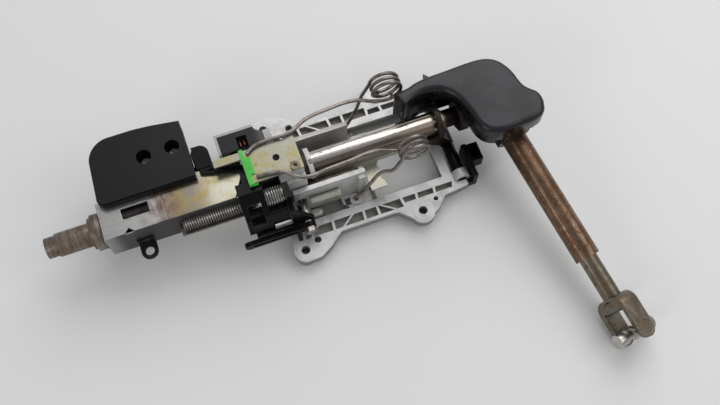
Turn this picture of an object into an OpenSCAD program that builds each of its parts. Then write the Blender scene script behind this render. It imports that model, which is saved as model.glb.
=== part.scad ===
// Adjustable car steering column, lying on its mounting bracket.
// X runs along the steering axis from the wheel end, Y is across, +Z is up. Millimetres.

/* [Upper shaft] */
// Radius of the splined tip
tip_r = 10.5; // [9:0.5:12]
// Length of the splined tip
tip_len = 11; // [8:1:16]
// Number of spline grooves in the tip
spline_count = 24; // [18:1:28]
// Radius of the stub behind the tip
stub_r = 12; // [11:0.5:14]
// Length of the stub behind the tip
stub_len = 34; // [26:1:44]
// Radius of the collar at the jacket's mouth
collar_r = 18.5; // [16:0.5:19.5]
// Length of the collar
collar_len = 12; // [8:1:16]
// Radius of the shaft inside the jacket
core_r = 9; // [7:0.5:10]
// Radius of the sleeve that takes the lower shaft
sleeve_r = 14; // [13.5:0.1:14.2]
// Length of the sleeve
sleeve_len = 86; // [80:1:92]

/* [Jacket] */
// Outer radius of the jacket tube
tube_r = 17; // [16.5:0.5:18]
// Wall of the jacket tube
tube_wall = 2; // [1.8:0.1:2.4]
// Length of the jacket tube
tube_len = 208; // [200:1:216]
// Outer width and height of the slide box
box_size = 40; // [38:0.5:42]
// Sheet thickness of the slide box
box_wall = 2; // [1.5:0.1:2.5]
// Length of the slide box
box_len = 147; // [130:1:152]
// Length of the window in the box
window_len = 27; // [20:1:34]
// Width of the window in the box
window_w = 11; // [8:0.5:16]
// Distance of the window from the box's mouth
window_at = 22; // [16:1:30]
// Distance from the box's mouth to its seam
seam_at = 63; // [56:1:70]
// Depth of the notch in the box's far end
notch_len = 9; // [5:1:14]
// Radius of the hole in the side tab
tab_hole_r = 4.5; // [3:0.25:5.5]
// Radius of the side tab's rounded end
tab_r = 8.5; // [7.5:0.5:10]

/* [Rack] */
// Length of the toothed rack
rack_len = 76; // [60:1:84]
// Height of the rack
rack_h = 10; // [8:0.5:12]
// Depth of the rack from the box wall
rack_depth = 9; // [7:0.5:10]
// Pitch of the rack's teeth
rack_pitch = 2.4; // [2:0.1:3.2]

/* [Lock cover] */
// Height of the cover's top over the steering axis
cover_top = 30; // [26:0.5:34]
// Depth of the cover
cover_depth = 26; // [20:1:30]
// Wall of the cover
cover_wall = 2.5; // [2:0.1:3.5]
// Length of the cover
cover_len = 98; // [92:1:99]
// Width of the cover across the column
cover_w = 65; // [60:1:68]
// Radius of the cover's screw wells
well_r = 7.5; // [6.5:0.25:8.5]

/* [Bracket] */
// Spacing of the bolt holes along the column
bolt_pitch_x = 129.5; // [122:0.5:136]
// Spacing of the bolt holes across the column
bolt_pitch_y = 146; // [142:1:152]
// Radius of the bolt holes, for M8
bolt_hole_r = 4.75; // [4.25:0.05:5.25]
// Radius of the bolt ears
ear_r = 12; // [11:0.5:13]
// Distance from the wheel end to the first bolt holes
first_bolt_x = 240.5; // [236:0.5:244]
// Height of the rails' tops over the steering axis
rail_top = -42; // [-44:0.5:-40]
// Thickness of the rails
rail_t = 12; // [10:0.5:14]
// Depth of the pockets between the ribs
pocket_depth = 7; // [4:0.5:8]
// Thickness of the ribs
rib_t = 2.6; // [2:0.1:3.5]
// Height of the feet under the bolt ears
foot_h = 6; // [4:0.5:8]
// Half the gap between the rails
rail_gap_half = 44; // [43:0.5:46]
// Width of the flat strip along each rail
strip_w = 8; // [6:0.5:9]
// Thickness of the upright cheeks
cheek_t = 4.5; // [3.5:0.25:5.5]
// Height of the cheeks' tops over the steering axis
cheek_top = 5; // [2:0.5:8]
// Width of the cross bar
bar_w = 10; // [8:0.5:10.5]

/* [Swing] */
// Distance from the wheel end to the tilt pivot
pivot_x = 422; // [419:0.5:425]
// Radius of the pivot shaft
pivot_r = 5; // [4:0.25:6]
// Wall of the pivot bushes
bush_wall = 1.5; // [1:0.1:2]
// Half the width of the guide housing
housing_half = 24; // [23.2:0.1:24.6]
// Length of the guide housing
housing_len = 26; // [24:0.5:28]
// Thickness of the top plate
plate_t = 2; // [1.5:0.1:3]
// Half the width of the top plate
plate_half = 18; // [16:0.5:20]
// Width of the swing arm
arm_w = 20; // [16:0.5:22]
// Sheet thickness of the swing arm
arm_t = 3; // [2.5:0.25:4]
// Reach of the wing plate from the column's middle
wing_reach = 41; // [36:0.5:42]

/* [Clamp] */
// Radius of the clamp bolt
clamp_r = 4; // [3.5:0.1:4.25]
// Height of the clamp bolt over the steering axis
clamp_z = -26; // [-26.5:0.1:-25.5]
// Sheet thickness of the clamp bracket
clamp_t = 4; // [3:0.25:5]
// Depth of the clamp bracket from the column's middle
clamp_reach = 50; // [48:0.5:53]
// Length of the clamp bracket
clamp_len = 44; // [42:1:46]
// Length of the release lever
lever_len = 64; // [50:1:80]

/* [Springs] */
// Radius of the spring wire
wire_r = 2.1; // [1.6:0.1:2.4]
// Radius of the coils at the middle of the wire
coil_r = 14.5; // [12:0.5:16]
// Pitch of the coils
coil_pitch = 5.6; // [5:0.1:6.4]

/* [Lower shaft] */
// Radius of the grooved lower shaft
lower_r = 11.5; // [11:0.1:11.8]
// Number of grooves along the lower shaft
groove_count = 8; // [6:1:12]
// Width of the grooves
groove_w = 2.2; // [1.5:0.1:3]
// Depth of the grooves
groove_depth = 1.1; // [0.6:0.1:1.6]

/* [Boot] */
// Height of the boot's top over the steering axis
boot_top = 36; // [33:0.5:39]
// Wall of the boot
boot_wall = 2.4; // [2:0.1:3]
// Radius of the boot's upper rim
boot_rim = 6; // [4:0.5:8]
// Depth of the boot's skirt below the steering axis
boot_skirt = 12; // [8:0.5:16]

/* [Intermediate shaft] */
// Distance from the wheel end to the upper joint's centre
joint_x = 473; // [470:0.5:476]
// Turn of the intermediate shaft away from the steering axis
joint_turn = 80.5; // [76:0.5:84]
// Drop of the intermediate shaft below level
joint_drop = 7.8; // [7:0.1:8.4]
// Distance from the upper to the lower joint's centre
joint_span = 272; // [262:1:282]
// Radius of the intermediate tube
mid_r = 13; // [12:0.25:14]
// Distance from the upper joint to the intermediate tube's end
mid_end = 187; // [178:1:194]
// Radius of the intermediate rod
rod_r = 9.5; // [8.5:0.1:10]

/* [Joints] */
// Half the span of a cross between its ears' outer faces
cross_half = 18; // [17:0.5:19]
// Thickness of the upper joint's ears
ear_t = 4; // [3.5:0.25:4.5]
// Width of the upper joint's ears
ear_w = 11; // [10:0.5:12]
// Radius of the upper joint's cups
cup_r = 4; // [3.5:0.1:4.25]
// Radius of the upper joint's hub
hub_r = 9; // [8:0.25:9.5]
// Radius of the lower cross's cups
low_cup_r = 7; // [6:0.25:7.5]
// Half the span of the lower cross
low_half = 20.5; // [20:0.5:22]
// Width of the lower yoke's ears
low_ear_w = 20; // [18:0.5:22]
// Thickness of the lower yoke's ears
low_ear_t = 6; // [5:0.25:7]

/* [Fits] */
// Gap of a running fit, on the radius
run_gap = 0.05; // [0.02:0.01:0.09]
// Gap between pieces that seat on each other
seat_gap = 0.02; // [0.01:0.01:0.05]
// Gap between pieces that move past each other
pass_gap = 0.3; // [0.3:0.05:0.6]

/* [Hidden] */
$fn = 48;
eps = 0.01;

// Stations along the steering axis
collar_x = tip_len + stub_len;
box_x = collar_x + collar_len + 1;
box_end = box_x + box_len;
tube_x = box_x + 2;
tube_end = tube_x + tube_len;
tube_bore = tube_r - tube_wall;
bearing_len = 12;
bush_gap = 0.04;
bearing_x = tube_x + 2;
sleeve_end = tube_end - 12;
sleeve_x = sleeve_end - sleeve_len;
housing_x = 236;
housing_end = housing_x + housing_len;
travel_in = 25;
sleeve_floor = sleeve_x + 6;
lower_x = sleeve_floor + travel_in + 3;
carrier_x = 407;
carrier_len = 6;
neck_end = joint_x - 33;

// Levels
box_half = box_size / 2;
rail_base = rail_top - rail_t;
floor_z = rail_base - foot_h;
plate_z = 34;
plate_top = plate_z + plate_t;
arm_z = -26;
pivot_z = rail_top;

// Bracket stations
rail_x = first_bolt_x - 8.5;
second_bolt_x = first_bolt_x + bolt_pitch_x;
bolt_y = bolt_pitch_y / 2;
rail_end = pivot_x + 4;
waist_y = bolt_y - 8;
tip_y = bolt_y - 12;
strip_y = rail_gap_half + strip_w;
pocket_y = waist_y - 3;
cheek_in = housing_half + 1.5;
cheek_out = cheek_in + cheek_t;
cheek_x = housing_x + 9;
cheek_end = 321;
clamp_x = housing_x + 16;
web_t = 4;
web_z = rail_base + web_t;
bar_x = pivot_x - 19;
lug_r = pivot_r + bush_wall + 2;
lug_t = 10;
near_foot = [308, -37];
far_foot = [318, 39];
foot_boss_r = 6;
foot_boss_h = 10;
foot_top = web_z + foot_boss_h;

// Ribs of one rail: distance from the rail's start at the strip, and at the outer edge
rail_ribs = [[4, 4], [13, 11], [28, 19], [45, 44], [67, 54], [79, 78], [94, 94], [98, 112], [121, 122],
    [138, 137], [158, 157], [180, 178]];

// Intermediate shaft frame: local X runs down the shaft
mid_yoke_end = 44;
rod_x = 110;
yoke_base = joint_span - 40;
trunnion_r = low_cup_r - 2;

function unit(v) = v / norm(v);
function tangents(p) =
    [for (i = [0:len(p) - 1]) unit(p[min(i + 1, len(p) - 1)] - p[max(i - 1, 0)])];
function carried(n, t) = unit(n - (n * t) * t);
function normals(t, n, i = 0, found = []) =
    i == len(t) ? found : let(m = carried(n, t[i])) normals(t, m, i + 1, concat(found, [m]));
function coil(centre, side, start, stop) =
    [for (a = [start:18:stop])
        let(across = side * coil_pitch * (a - start) / 360, up = coil_r * sin(a))
        centre + [coil_r * cos(a), across, up]];

// Round wire along a path
module wire(path, r, sides = 8) {
    t = tangents(path);
    n = normals(t, [0.1, 0.2, 1]);
    last = len(path) - 1;
    points = [for (i = [0:last]) for (k = [0:sides - 1])
        let(a = 360 * k / sides) path[i] + r * (cos(a) * n[i] + sin(a) * cross(t[i], n[i]))];
    sleeve = [for (i = [0:last - 1]) for (k = [0:sides - 1])
        let(m = (k + 1) % sides) [i * sides + k, (i + 1) * sides + k, (i + 1) * sides + m, i * sides + m]];
    mouth = [[for (k = [0:sides - 1]) k]];
    tail = [[for (k = [sides - 1:-1:0]) last * sides + k]];
    polyhedron(points, concat(sleeve, mouth, tail), convexity = 8);
}

module block(from, to) {
    translate(from) cube(to - from);
}

module rod_along_x(from, to, r) {
    translate([from, 0, 0]) rotate([0, 90, 0]) cylinder(r = r, h = to - from);
}

module rod_along_y(from, to, r) {
    translate([0, from, 0]) rotate([-90, 0, 0]) cylinder(r = r, h = to - from);
}

module ring_along_x(from, to, outer, inner) {
    difference() {
        rod_along_x(from, to, outer);
        rod_along_x(from - 1, to + 1, inner);
    }
}

module both_sides() {
    children();
    mirror([0, 1, 0]) children();
}

module in_mid_frame() {
    translate([joint_x, 0, 0]) rotate([0, joint_drop, -joint_turn]) children();
}

module in_low_frame() {
    in_mid_frame() translate([joint_span, 0, 0]) rotate([-18, 0, 0]) children();
}

// Outline of one rail, seen from above, on the +Y side
module rail_outline() {
    polygon([
        [rail_x, rail_gap_half], [rail_end, rail_gap_half], [rail_end, tip_y],
        [second_bolt_x + 29, tip_y + 3], [second_bolt_x + 18, bolt_y + 2],
        [second_bolt_x + 8, bolt_y + 8], [second_bolt_x - 10, bolt_y + 7],
        [second_bolt_x - 24, waist_y + 1], [second_bolt_x - 31, waist_y], [first_bolt_x + 42, waist_y],
        [first_bolt_x + 27, bolt_y + 4], [first_bolt_x + 14, bolt_y + ear_r - 0.5],
        [first_bolt_x, bolt_y + ear_r],
        [first_bolt_x - ear_r, bolt_y], [rail_x, waist_y - 10]
    ]);
    translate([first_bolt_x, bolt_y]) circle(r = ear_r);
    translate([second_bolt_x, bolt_y]) circle(r = ear_r + 1);
}

// Pockets between the ribs of one rail
module rail_pockets() {
    half = rib_t / 2;
    for (i = [0:len(rail_ribs) - 2]) {
        left = rail_ribs[i];
        right = rail_ribs[i + 1];
        by_ear = rail_x + right[1] > second_bolt_x - ear_r;
        deep = by_ear ? bolt_y - ear_r - 2.5 : pocket_y;
        polygon([
            [rail_x + left[0] + half, strip_y], [rail_x + right[0] - half, strip_y],
            [rail_x + right[1] - half, deep], [rail_x + left[1] + half, deep]
        ]);
    }
}

module rail(locator_x, locator_r) {
    difference() {
        union() {
            translate([0, 0, rail_base]) linear_extrude(rail_t) rail_outline();
            for (x = [first_bolt_x, second_bolt_x])
                translate([x, bolt_y, floor_z]) cylinder(r = ear_r - 1.2, h = rail_top + 0.8 - floor_z);
            translate([second_bolt_x + 17.5, bolt_y - 8, rail_base])
                cylinder(r = 5, h = rail_t + 0.6, $fn = 6);
            translate([pivot_x, rail_gap_half, pivot_z]) rod_along_y(0, lug_t, lug_r);
        }
        translate([0, 0, rail_top - pocket_depth]) linear_extrude(pocket_depth + 1) rail_pockets();
        for (x = [first_bolt_x, second_bolt_x])
            translate([x, bolt_y, floor_z - 1]) cylinder(r = bolt_hole_r, h = rail_t + foot_h + 4);
        translate([locator_x, bolt_y - 7, rail_base - 1]) cylinder(r = locator_r, h = rail_t + 2);
        translate([second_bolt_x + 17.5, bolt_y - 8, rail_base - 1]) cylinder(r = 2.6, h = rail_t + 3);
        translate([pivot_x, 0, pivot_z])
            rod_along_y(rail_gap_half - 1, rail_gap_half + lug_t + 1, pivot_r + bush_wall + seat_gap);
    }
}

// Upright cheek with the slot that the clamp bolt travels in
module cheek() {
    slot_r = clamp_r + 1.4;
    slot_half = 9;
    difference() {
        union() {
            block([cheek_x, cheek_in, rail_base], [cheek_end, cheek_out, cheek_top]);
            block([cheek_x, cheek_in, rail_base], [cheek_end + 10, rail_gap_half + 1, web_z]);
        }
        translate([clamp_x, 0, clamp_z - slot_half]) rod_along_y(cheek_in - 1, cheek_out + 1, slot_r);
        translate([clamp_x, 0, clamp_z + slot_half]) rod_along_y(cheek_in - 1, cheek_out + 1, slot_r);
        block([clamp_x - slot_r, cheek_in - 1, clamp_z - slot_half],
            [clamp_x + slot_r, cheek_out + 1, clamp_z + slot_half]);
        translate([cheek_end + 14, 0, cheek_top + 4]) rotate([0, 45, 0])
            cube([24, 3 * cheek_out, 24], center = true);
    }
}

module spring_foot(at) {
    translate([at[0], at[1], web_z - 1]) cylinder(r = foot_boss_r, h = foot_boss_h + 1);
}

module spring_hole(at) {
    translate([at[0], at[1], web_z + 1]) cylinder(r = wire_r + 2 * pass_gap, h = foot_boss_h);
}

// Raised tray round the near spring's foot, and the flange at the cheek's end
module near_tray() {
    tray_x = near_foot[0] - 14;
    tray_end = near_foot[0] + 17;
    tray_front = -rail_gap_half + 1;
    tray_top = web_z + 6.5;
    rim = 2.5;
    difference() {
        union() {
            block([tray_x, tray_front, rail_base], [tray_end, -cheek_in - 1, tray_top]);
            block([cheek_end - 8, -cheek_out - 4.5, rail_base],
                [cheek_end - 1, -cheek_in - 1, cheek_top - 3]);
        }
        block([tray_x + rim, tray_front + rim, web_z], [cheek_end - 8 - rim, -cheek_out - rim, tray_top + 1]);
        translate([tray_x, tray_front, rail_base - 1]) rotate([0, 0, 45])
            cube([8, 8, 60], center = true);
    }
}

module near_boss() {
    boss_r = 5.5;
    translate([0, -cheek_out - boss_r - 1, web_z + 2.5]) {
        rod_along_x(cheek_x, cheek_x + 22, boss_r);
        translate([cheek_x + 22, 0, 0]) sphere(r = boss_r);
    }
}

module mounting_bracket() {
    color("silver") difference() {
        union() {
            rail(first_bolt_x + 27, 4);
            mirror([0, 1, 0]) rail(first_bolt_x + 15.5, 3.75);
            both_sides() cheek();
            block([cheek_x + 14, -cheek_in - 1, rail_base], [cheek_end - 5, cheek_in + 1, web_z]);
            block([bar_x, -rail_gap_half - 1, rail_base], [bar_x + bar_w, rail_gap_half + 1, rail_top]);
            spring_foot(near_foot);
            spring_foot(far_foot);
            near_tray();
            near_boss();
        }
        spring_hole(near_foot);
        spring_hole(far_foot);
    }
}

module pivot_bushes() {
    color("dimgray") both_sides() translate([pivot_x, 0, pivot_z]) difference() {
        rod_along_y(rail_gap_half, rail_gap_half + lug_t, pivot_r + bush_wall);
        rod_along_y(rail_gap_half - 1, rail_gap_half + lug_t + 1, pivot_r + run_gap);
    }
}

// Long arm, coil and leg of each helper spring
arm_level = plate_top + wire_r + pass_gap;
coil_level = 32;
coil_low = coil_level - coil_r;
far_arm = [[213, 13, arm_level], [221, 18, arm_level], [236, 20, arm_level], [255, 20, arm_level],
    [266, 23.5, arm_level - 0.5], [278, 30, arm_level - 2], [301, 35, 33], [336, 39, 25],
    [352, 36, coil_low + 1]];
far_coil = coil([368, 33, coil_level], 1, -90, 900);
far_leg = [[350, 49, 22], [345, 49, 10], [338, 45, -6], [326, 41, -26],
    [far_foot[0], far_foot[1], foot_top + 3], [far_foot[0], far_foot[1], web_z + 2]];
near_arm = [[215, -13, arm_level], [233, -15, arm_level], [244, -19, arm_level], [253, -27, arm_level - 0.5],
    [263, -30, arm_level - 1], [279, -28, arm_level - 3], [301, -26, 33], [336, -21, 25],
    [354, -24, coil_low + 1]];
near_coil = coil([370, -26, coil_level], -1, -90, 900);
near_leg = [[352, -41, 22], [347, -41, 12], [336, -36, 3], [323, -38, -12], [313, -37.5, -30],
    [near_foot[0], near_foot[1], foot_top + 3], [near_foot[0], near_foot[1], web_z + 2]];

module far_spring() {
    color("slategray") wire(concat(far_arm, far_coil, far_leg), wire_r);
}

module near_spring() {
    color("slategray") wire(concat(near_arm, near_coil, near_leg), wire_r);
}

// Connector on the far rail
holder_x = 187;
holder_end = 246;
holder_y = 48;
holder_far = 72;
holder_top = -18;
holder_wall = 3;
holder_base = rail_top + seat_gap;

module bolt_head_room() {
    translate([first_bolt_x, bolt_y, rail_base]) cylinder(r = ear_r - 0.6, h = 60);
}

module connector_holder() {
    color("lightgray") difference() {
        block([holder_x, holder_y, holder_base], [holder_end, holder_far, holder_top]);
        block([holder_x + holder_wall, holder_y - 1, holder_base + holder_wall],
            [holder_end - 8, holder_far - holder_wall, holder_top + 1]);
        block([holder_x - 1, holder_y - 1, holder_base - 1], [rail_x - 6, holder_y + 4, holder_base + 9]);
        bolt_head_room();
    }
}

module connector_body() {
    color("black") difference() {
        block([holder_x + holder_wall + seat_gap, holder_y + 1, holder_base + holder_wall + seat_gap],
            [holder_end - 8 - seat_gap, holder_far - holder_wall - seat_gap, holder_top - 1]);
        block([holder_x + 12, holder_y, holder_base + 9], [holder_end - 18, holder_y + 14, holder_top - 4]);
        block([holder_x + 22, holder_y, holder_top - 8], [holder_end - 26, holder_far - 9, holder_top]);
        bolt_head_room();
    }
}

module connector_pins() {
    pin_pitch = 4.5;
    color("firebrick") for (i = [0:3])
        translate([holder_x + 20 + i * pin_pitch, holder_y + 8, holder_base + 13])
            cube([1.6, 6 - seat_gap, 1.6]);
}

module stop_screw() {
    screw_r = 4;
    thread_pitch = 2;
    screw_x = clamp_x + 8;
    color("goldenrod") translate([screw_x, -cheek_out - screw_r - seat_gap, clamp_z + 12]) {
        rod_along_x(0, 28, screw_r - 0.6);
        for (x = [2:thread_pitch:24]) rod_along_x(x, x + thread_pitch / 2, screw_r);
        rod_along_x(27, 32, screw_r);
    }
}

// Harness clip on the end of the near rail
module harness_clip() {
    clip_from = rail_end + seat_gap;
    body_x = pivot_x + lug_r + 1;
    color("black") difference() {
        union() {
            block([clip_from, -60, rail_base + 2], [body_x + 4, -54.5, rail_top - 1]);
            block([body_x, -60, rail_base + 2], [body_x + 5, -22, rail_top + 14]);
            block([body_x, -44, rail_top - 2], [body_x + 17, -24, rail_top + 15]);
        }
        block([body_x + 6, -40, rail_top + 4], [body_x + 14, -28, rail_top + 16]);
        translate([body_x + 2, -52, rail_top + 6]) rotate([0, 90, 0])
            cylinder(r = 3.5, h = 20, center = true);
    }
}

// Joint boot: neck along the shaft and a lobe over the upper joint
module boot_outline() {
    neck_x = joint_x - 98;
    offset(r = 10) offset(delta = -10) polygon([
        [joint_x - 70, 20], [joint_x - 70, 35.5], [joint_x - 14, 38], [joint_x + 4, 37],
        [joint_x + 18, 27], [joint_x + 24, 10], [joint_x + 28, -9], [joint_x + 37, -14], [joint_x + 40, -23],
        [joint_x + 38, -39], [joint_x + 28, -45], [joint_x - 11, -48], [joint_x - 30, -43],
        [joint_x - 34, -26], [joint_x - 39, -6], [joint_x - 44, 6], [joint_x - 50, 14], [joint_x - 58, 19]
    ]);
    offset(r = 3) offset(delta = -3) polygon([
        [neck_x + 4, 9.5], [neck_x, 12], [neck_x - 1, 29.5], [neck_x + 11, 30.2], [neck_x + 21, 33.5],
        [joint_x - 67, 35.5], [joint_x - 30, 37], [joint_x - 30, -10], [joint_x - 39, -6], [joint_x - 44, 6],
        [joint_x - 49, 13], [joint_x - 56, 17.8], [joint_x - 64, 20], [joint_x - 73, 20.3],
        [joint_x - 82, 18.5]
    ]);
}

module boot_body(inset, from, top) {
    steps = 3;
    translate([0, 0, from]) linear_extrude(top - boot_rim - from) offset(delta = -inset) boot_outline();
    for (i = [0:steps - 1]) {
        low = boot_rim * sin(90 * i / steps);
        high = boot_rim * sin(90 * (i + 1) / steps);
        pull = boot_rim * (1 - cos(90 * (i + 0.5) / steps));
        translate([0, 0, top - boot_rim + low - eps]) linear_extrude(high - low + eps)
            offset(delta = -inset - pull) boot_outline();
    }
}

module joint_boot() {
    exit_half = mid_r + 14;
    leg_x = joint_x - 88;
    shaft_clear = lower_r + 3;
    carrier_clear = lower_r + 8.5;
    fork_clear = cross_half + 3.4;
    under = -boot_skirt - 1;
    color("#202022") difference() {
        union() {
            boot_body(0, -boot_skirt, boot_top);
            block([leg_x, 27, rail_top + seat_gap], [leg_x + 14, 31, -boot_skirt + 6]);
            block([leg_x, 27, rail_top + seat_gap], [leg_x + 14, rail_gap_half + 8, rail_top + 3]);
            translate([joint_x - 67, 32, boot_top - 12]) linear_extrude(3) polygon([[0, 0], [9, 0], [7, 11]]);
        }
        boot_body(boot_wall, under, boot_top - boot_wall);
        block([joint_x - 102, 12, under], [joint_x - 94, 27, boot_top - 6]);
        rod_along_x(joint_x - 102, joint_x - 73, shaft_clear);
        block([joint_x - 102, -shaft_clear, under], [joint_x - 73, shaft_clear, 0]);
        rod_along_x(joint_x - 74, joint_x - 55, carrier_clear);
        block([joint_x - 74, -carrier_clear, under], [joint_x - 55, carrier_clear, 0]);
        block([joint_x - exit_half + 6, -60, under], [joint_x + exit_half + 8, -20, mid_r + 6]);
        rod_along_x(joint_x - 56, joint_x - 20, fork_clear);
        block([joint_x - 56, -fork_clear, under], [joint_x - 20, fork_clear, 0]);
        translate([leg_x + 7, rail_gap_half + 3, rail_top - 1]) cylinder(r = 2.2, h = 6);
        block([joint_x - 84, 10, -8], [joint_x - 76, 24, -4]);
        block([joint_x - 43, -20, 17], [joint_x - 29, -13, 21]);
    }
}

module boot_screw() {
    color("gray") translate([joint_x - 81, rail_gap_half + 3, rail_top + 3 + seat_gap]) {
        cylinder(r = 4, h = 2.5);
        translate([0, 0, -2.5]) cylinder(r = 2, h = 3);
    }
}

module pivot_shaft() {
    sleeve_half = rail_gap_half - 1;
    color("#1c1c1e") translate([pivot_x, 0, pivot_z]) {
        rod_along_y(-rail_gap_half - lug_t, rail_gap_half + lug_t, pivot_r);
        rod_along_y(-sleeve_half, -arm_w / 2 - seat_gap, pivot_r + 1.5);
        rod_along_y(arm_w / 2 + seat_gap, sleeve_half, pivot_r + 1.5);
    }
}

// Swing arm: channel under the lower shaft, from the guide housing to the pivot
module swing_arm() {
    arm_half = arm_w / 2;
    side_h = 8;
    bend_x = carrier_x - 13;
    wing_x = 324.5;
    wing_w = 17;
    wing_far = 24;
    carrier_r = lower_r + 6;
    color("khaki") difference() {
        union() {
            block([housing_end + seat_gap, -arm_half, arm_z], [bend_x, arm_half, arm_z + arm_t]);
            both_sides()
                block([housing_end + seat_gap, arm_half - arm_t, arm_z], [bend_x, arm_half, arm_z + side_h]);
            block([wing_x, -wing_reach, arm_z], [wing_x + wing_w, wing_far, arm_z + arm_t]);
            translate([0, arm_half, 0]) rotate([90, 0, 0]) linear_extrude(arm_w) polygon([
                [bend_x - 1, arm_z], [bend_x - 1, arm_z + side_h], [carrier_x + carrier_len, arm_z + side_h],
                [pivot_x + pivot_r + 2, pivot_z], [pivot_x - pivot_r - 2, pivot_z],
                [bar_x + bar_w - 4, rail_top + 6]
            ]);
            translate([pivot_x, 0, pivot_z]) rod_along_y(-arm_half, arm_half, pivot_r + 2.5);
            rod_along_x(carrier_x, carrier_x + carrier_len, carrier_r);
            block([carrier_x, -arm_half, arm_z + side_h - 1], [carrier_x + carrier_len, arm_half, -lower_r]);
        }
        for (y = [-30, -16, 16]) translate([wing_x + wing_w + 1.5, y, arm_z - 1])
            cylinder(r = 4, h = arm_t + 2);
        rod_along_x(carrier_x - 1, carrier_x + carrier_len + 1, lower_r + 3 + seat_gap);
        translate([pivot_x, 0, pivot_z]) rod_along_y(-arm_half - 1, arm_half + 1, pivot_r + seat_gap);
    }
}

module lower_bearing() {
    color("whitesmoke") ring_along_x(carrier_x, carrier_x + carrier_len, lower_r + 3, lower_r + run_gap);
}

// Guide housing: the jacket tube slides in its bore, the clamp bolt crosses below
module guide_housing() {
    color("khaki") difference() {
        block([housing_x, -housing_half, clamp_z - 9], [housing_end, housing_half, plate_z]);
        rod_along_x(housing_x - 1, housing_end + 1, tube_r + run_gap);
        translate([clamp_x, 0, clamp_z]) rod_along_y(-housing_half - 1, housing_half + 1, clamp_r + run_gap);
        both_sides() block([housing_x - 1, housing_half - 7, tube_r + 5],
            [housing_end + 1, housing_half + 1, plate_z + 1]);
    }
}

plate_x = 208;
plate_end = housing_end;
eyelet_at = [housing_end - 8, -plate_half + 4];

module top_plate() {
    strip_x = 179;
    color("palegoldenrod") difference() {
        union() {
            block([plate_x, -plate_half, plate_z + seat_gap], [plate_end, plate_half, plate_top]);
            block([strip_x, plate_half - 8, plate_z + seat_gap], [plate_x + 1, plate_half, plate_top]);
            block([strip_x, plate_half - plate_t, plate_z - 3.5], [plate_x + 1, plate_half, plate_top]);
        }
        translate([housing_x + 3, 1, plate_z - 1]) cylinder(r = 3.5, h = plate_t + 2);
        translate([eyelet_at[0], eyelet_at[1], plate_z - 1]) cylinder(r = 3 + seat_gap, h = plate_t + 2);
    }
}

module plate_eyelet() {
    color("gray") translate([eyelet_at[0], eyelet_at[1], 0]) difference() {
        union() {
            translate([0, 0, plate_z + seat_gap]) cylinder(r = 3, h = plate_t + 1);
            translate([0, 0, plate_top + seat_gap]) cylinder(r = 5, h = 1.6);
        }
        translate([0, 0, plate_z - 1]) cylinder(r = 1.8, h = plate_t + 6);
    }
}

// Green saddle that wraps the plate's edge and carries the spring ends
module spring_saddle() {
    saddle_w = 9;
    skin = wire_r - 0.4;
    color("limegreen") difference() {
        block([plate_x - 2, -plate_half - 1.5, plate_z - 2],
            [plate_x - 2 + saddle_w, plate_half + 1.5, plate_top + skin]);
        block([plate_x - seat_gap, -plate_half - 3, plate_z],
            [plate_x + saddle_w, plate_half + 3, plate_top + seat_gap]);
        block([plate_x - 3, plate_half - 9, plate_z - 8],
            [plate_x + 1, plate_half + 3, plate_top + seat_gap]);
        block([plate_x + 2, 10, plate_top], [plate_x + saddle_w + 1, 24, plate_top + 4]);
        block([plate_x + 3, -24, plate_top], [plate_x + saddle_w + 1, -9, plate_top + 4]);
    }
}

clamp_from = housing_x - clamp_len;
drum_x = clamp_from + 25;
clamp_low = clamp_z - 3;
clamp_top_z = 30;

// Black clamp bracket on the near side of the housing
module clamp_bracket() {
    wall_x = housing_x;
    wall_end = cheek_x - 3.5;
    front = -clamp_reach;
    inside = front + clamp_t;
    color("#17181a") difference() {
        union() {
            translate([clamp_from, 0, 0]) rotate([90, 0, 90]) linear_extrude(wall_x - clamp_from) polygon([
                [-2, clamp_top_z], [-24, clamp_top_z], [front + 6, 8], [front, -6], [front, clamp_low],
                [inside, clamp_low], [inside, -7], [inside + 5.6, 6.2], [-22.3, clamp_top_z - clamp_t],
                [-2, clamp_top_z - clamp_t]
            ]);
            block([wall_x - 1, front, clamp_low], [wall_end, -housing_half - seat_gap, 10]);
            block([wall_x - 1, -40, 9], [wall_end, -housing_half - seat_gap, clamp_top_z]);
            translate([0, inside, 0]) rotate([90, 0, 0]) linear_extrude(clamp_t) polygon([
                [wall_x - 1, 8], [wall_end, 8], [clamp_x + 7, clamp_z + 5], [clamp_x, clamp_low],
                [wall_x - 1, clamp_low]
            ]);
            translate([clamp_x, 0, clamp_z]) rod_along_y(front, inside, clamp_r + 3.5);
        }
        block([drum_x - pass_gap, -42, 8], [wall_x, 0, clamp_top_z + 1]);
        block([clamp_from + 5, front + 2, -4], [clamp_from + 19, -30, 20]);
        block([clamp_from - 1, front - 1, clamp_low - 1], [clamp_from + 6, inside + 1, -12]);
        block([clamp_from + 12, front - 1, -20], [clamp_from + 28, inside + 1, -10]);
        translate([clamp_x, 0, clamp_z]) rod_along_y(front - 1, inside + 1, clamp_r + run_gap);
        block([clamp_from - 1, -12, clamp_top_z - clamp_t - 1], [clamp_from + 8, -1, clamp_top_z + 1]);
    }
}

bolt_far = cheek_out + pass_gap;
clip_t = 2;
lever_y = -clamp_reach - clip_t - pass_gap;
lever_t = 5;

module clamp_bolt() {
    color("gray") translate([clamp_x, 0, clamp_z]) {
        rod_along_y(lever_y - lever_t - 6, bolt_far, clamp_r);
        translate([0, bolt_far - eps, 0]) rotate([-90, 0, 0]) cylinder(r = 6.5, h = 5, $fn = 6);
        rod_along_y(-clamp_reach + clamp_t + pass_gap, -cheek_out - pass_gap, clamp_r + 2.5);
    }
}

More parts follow.
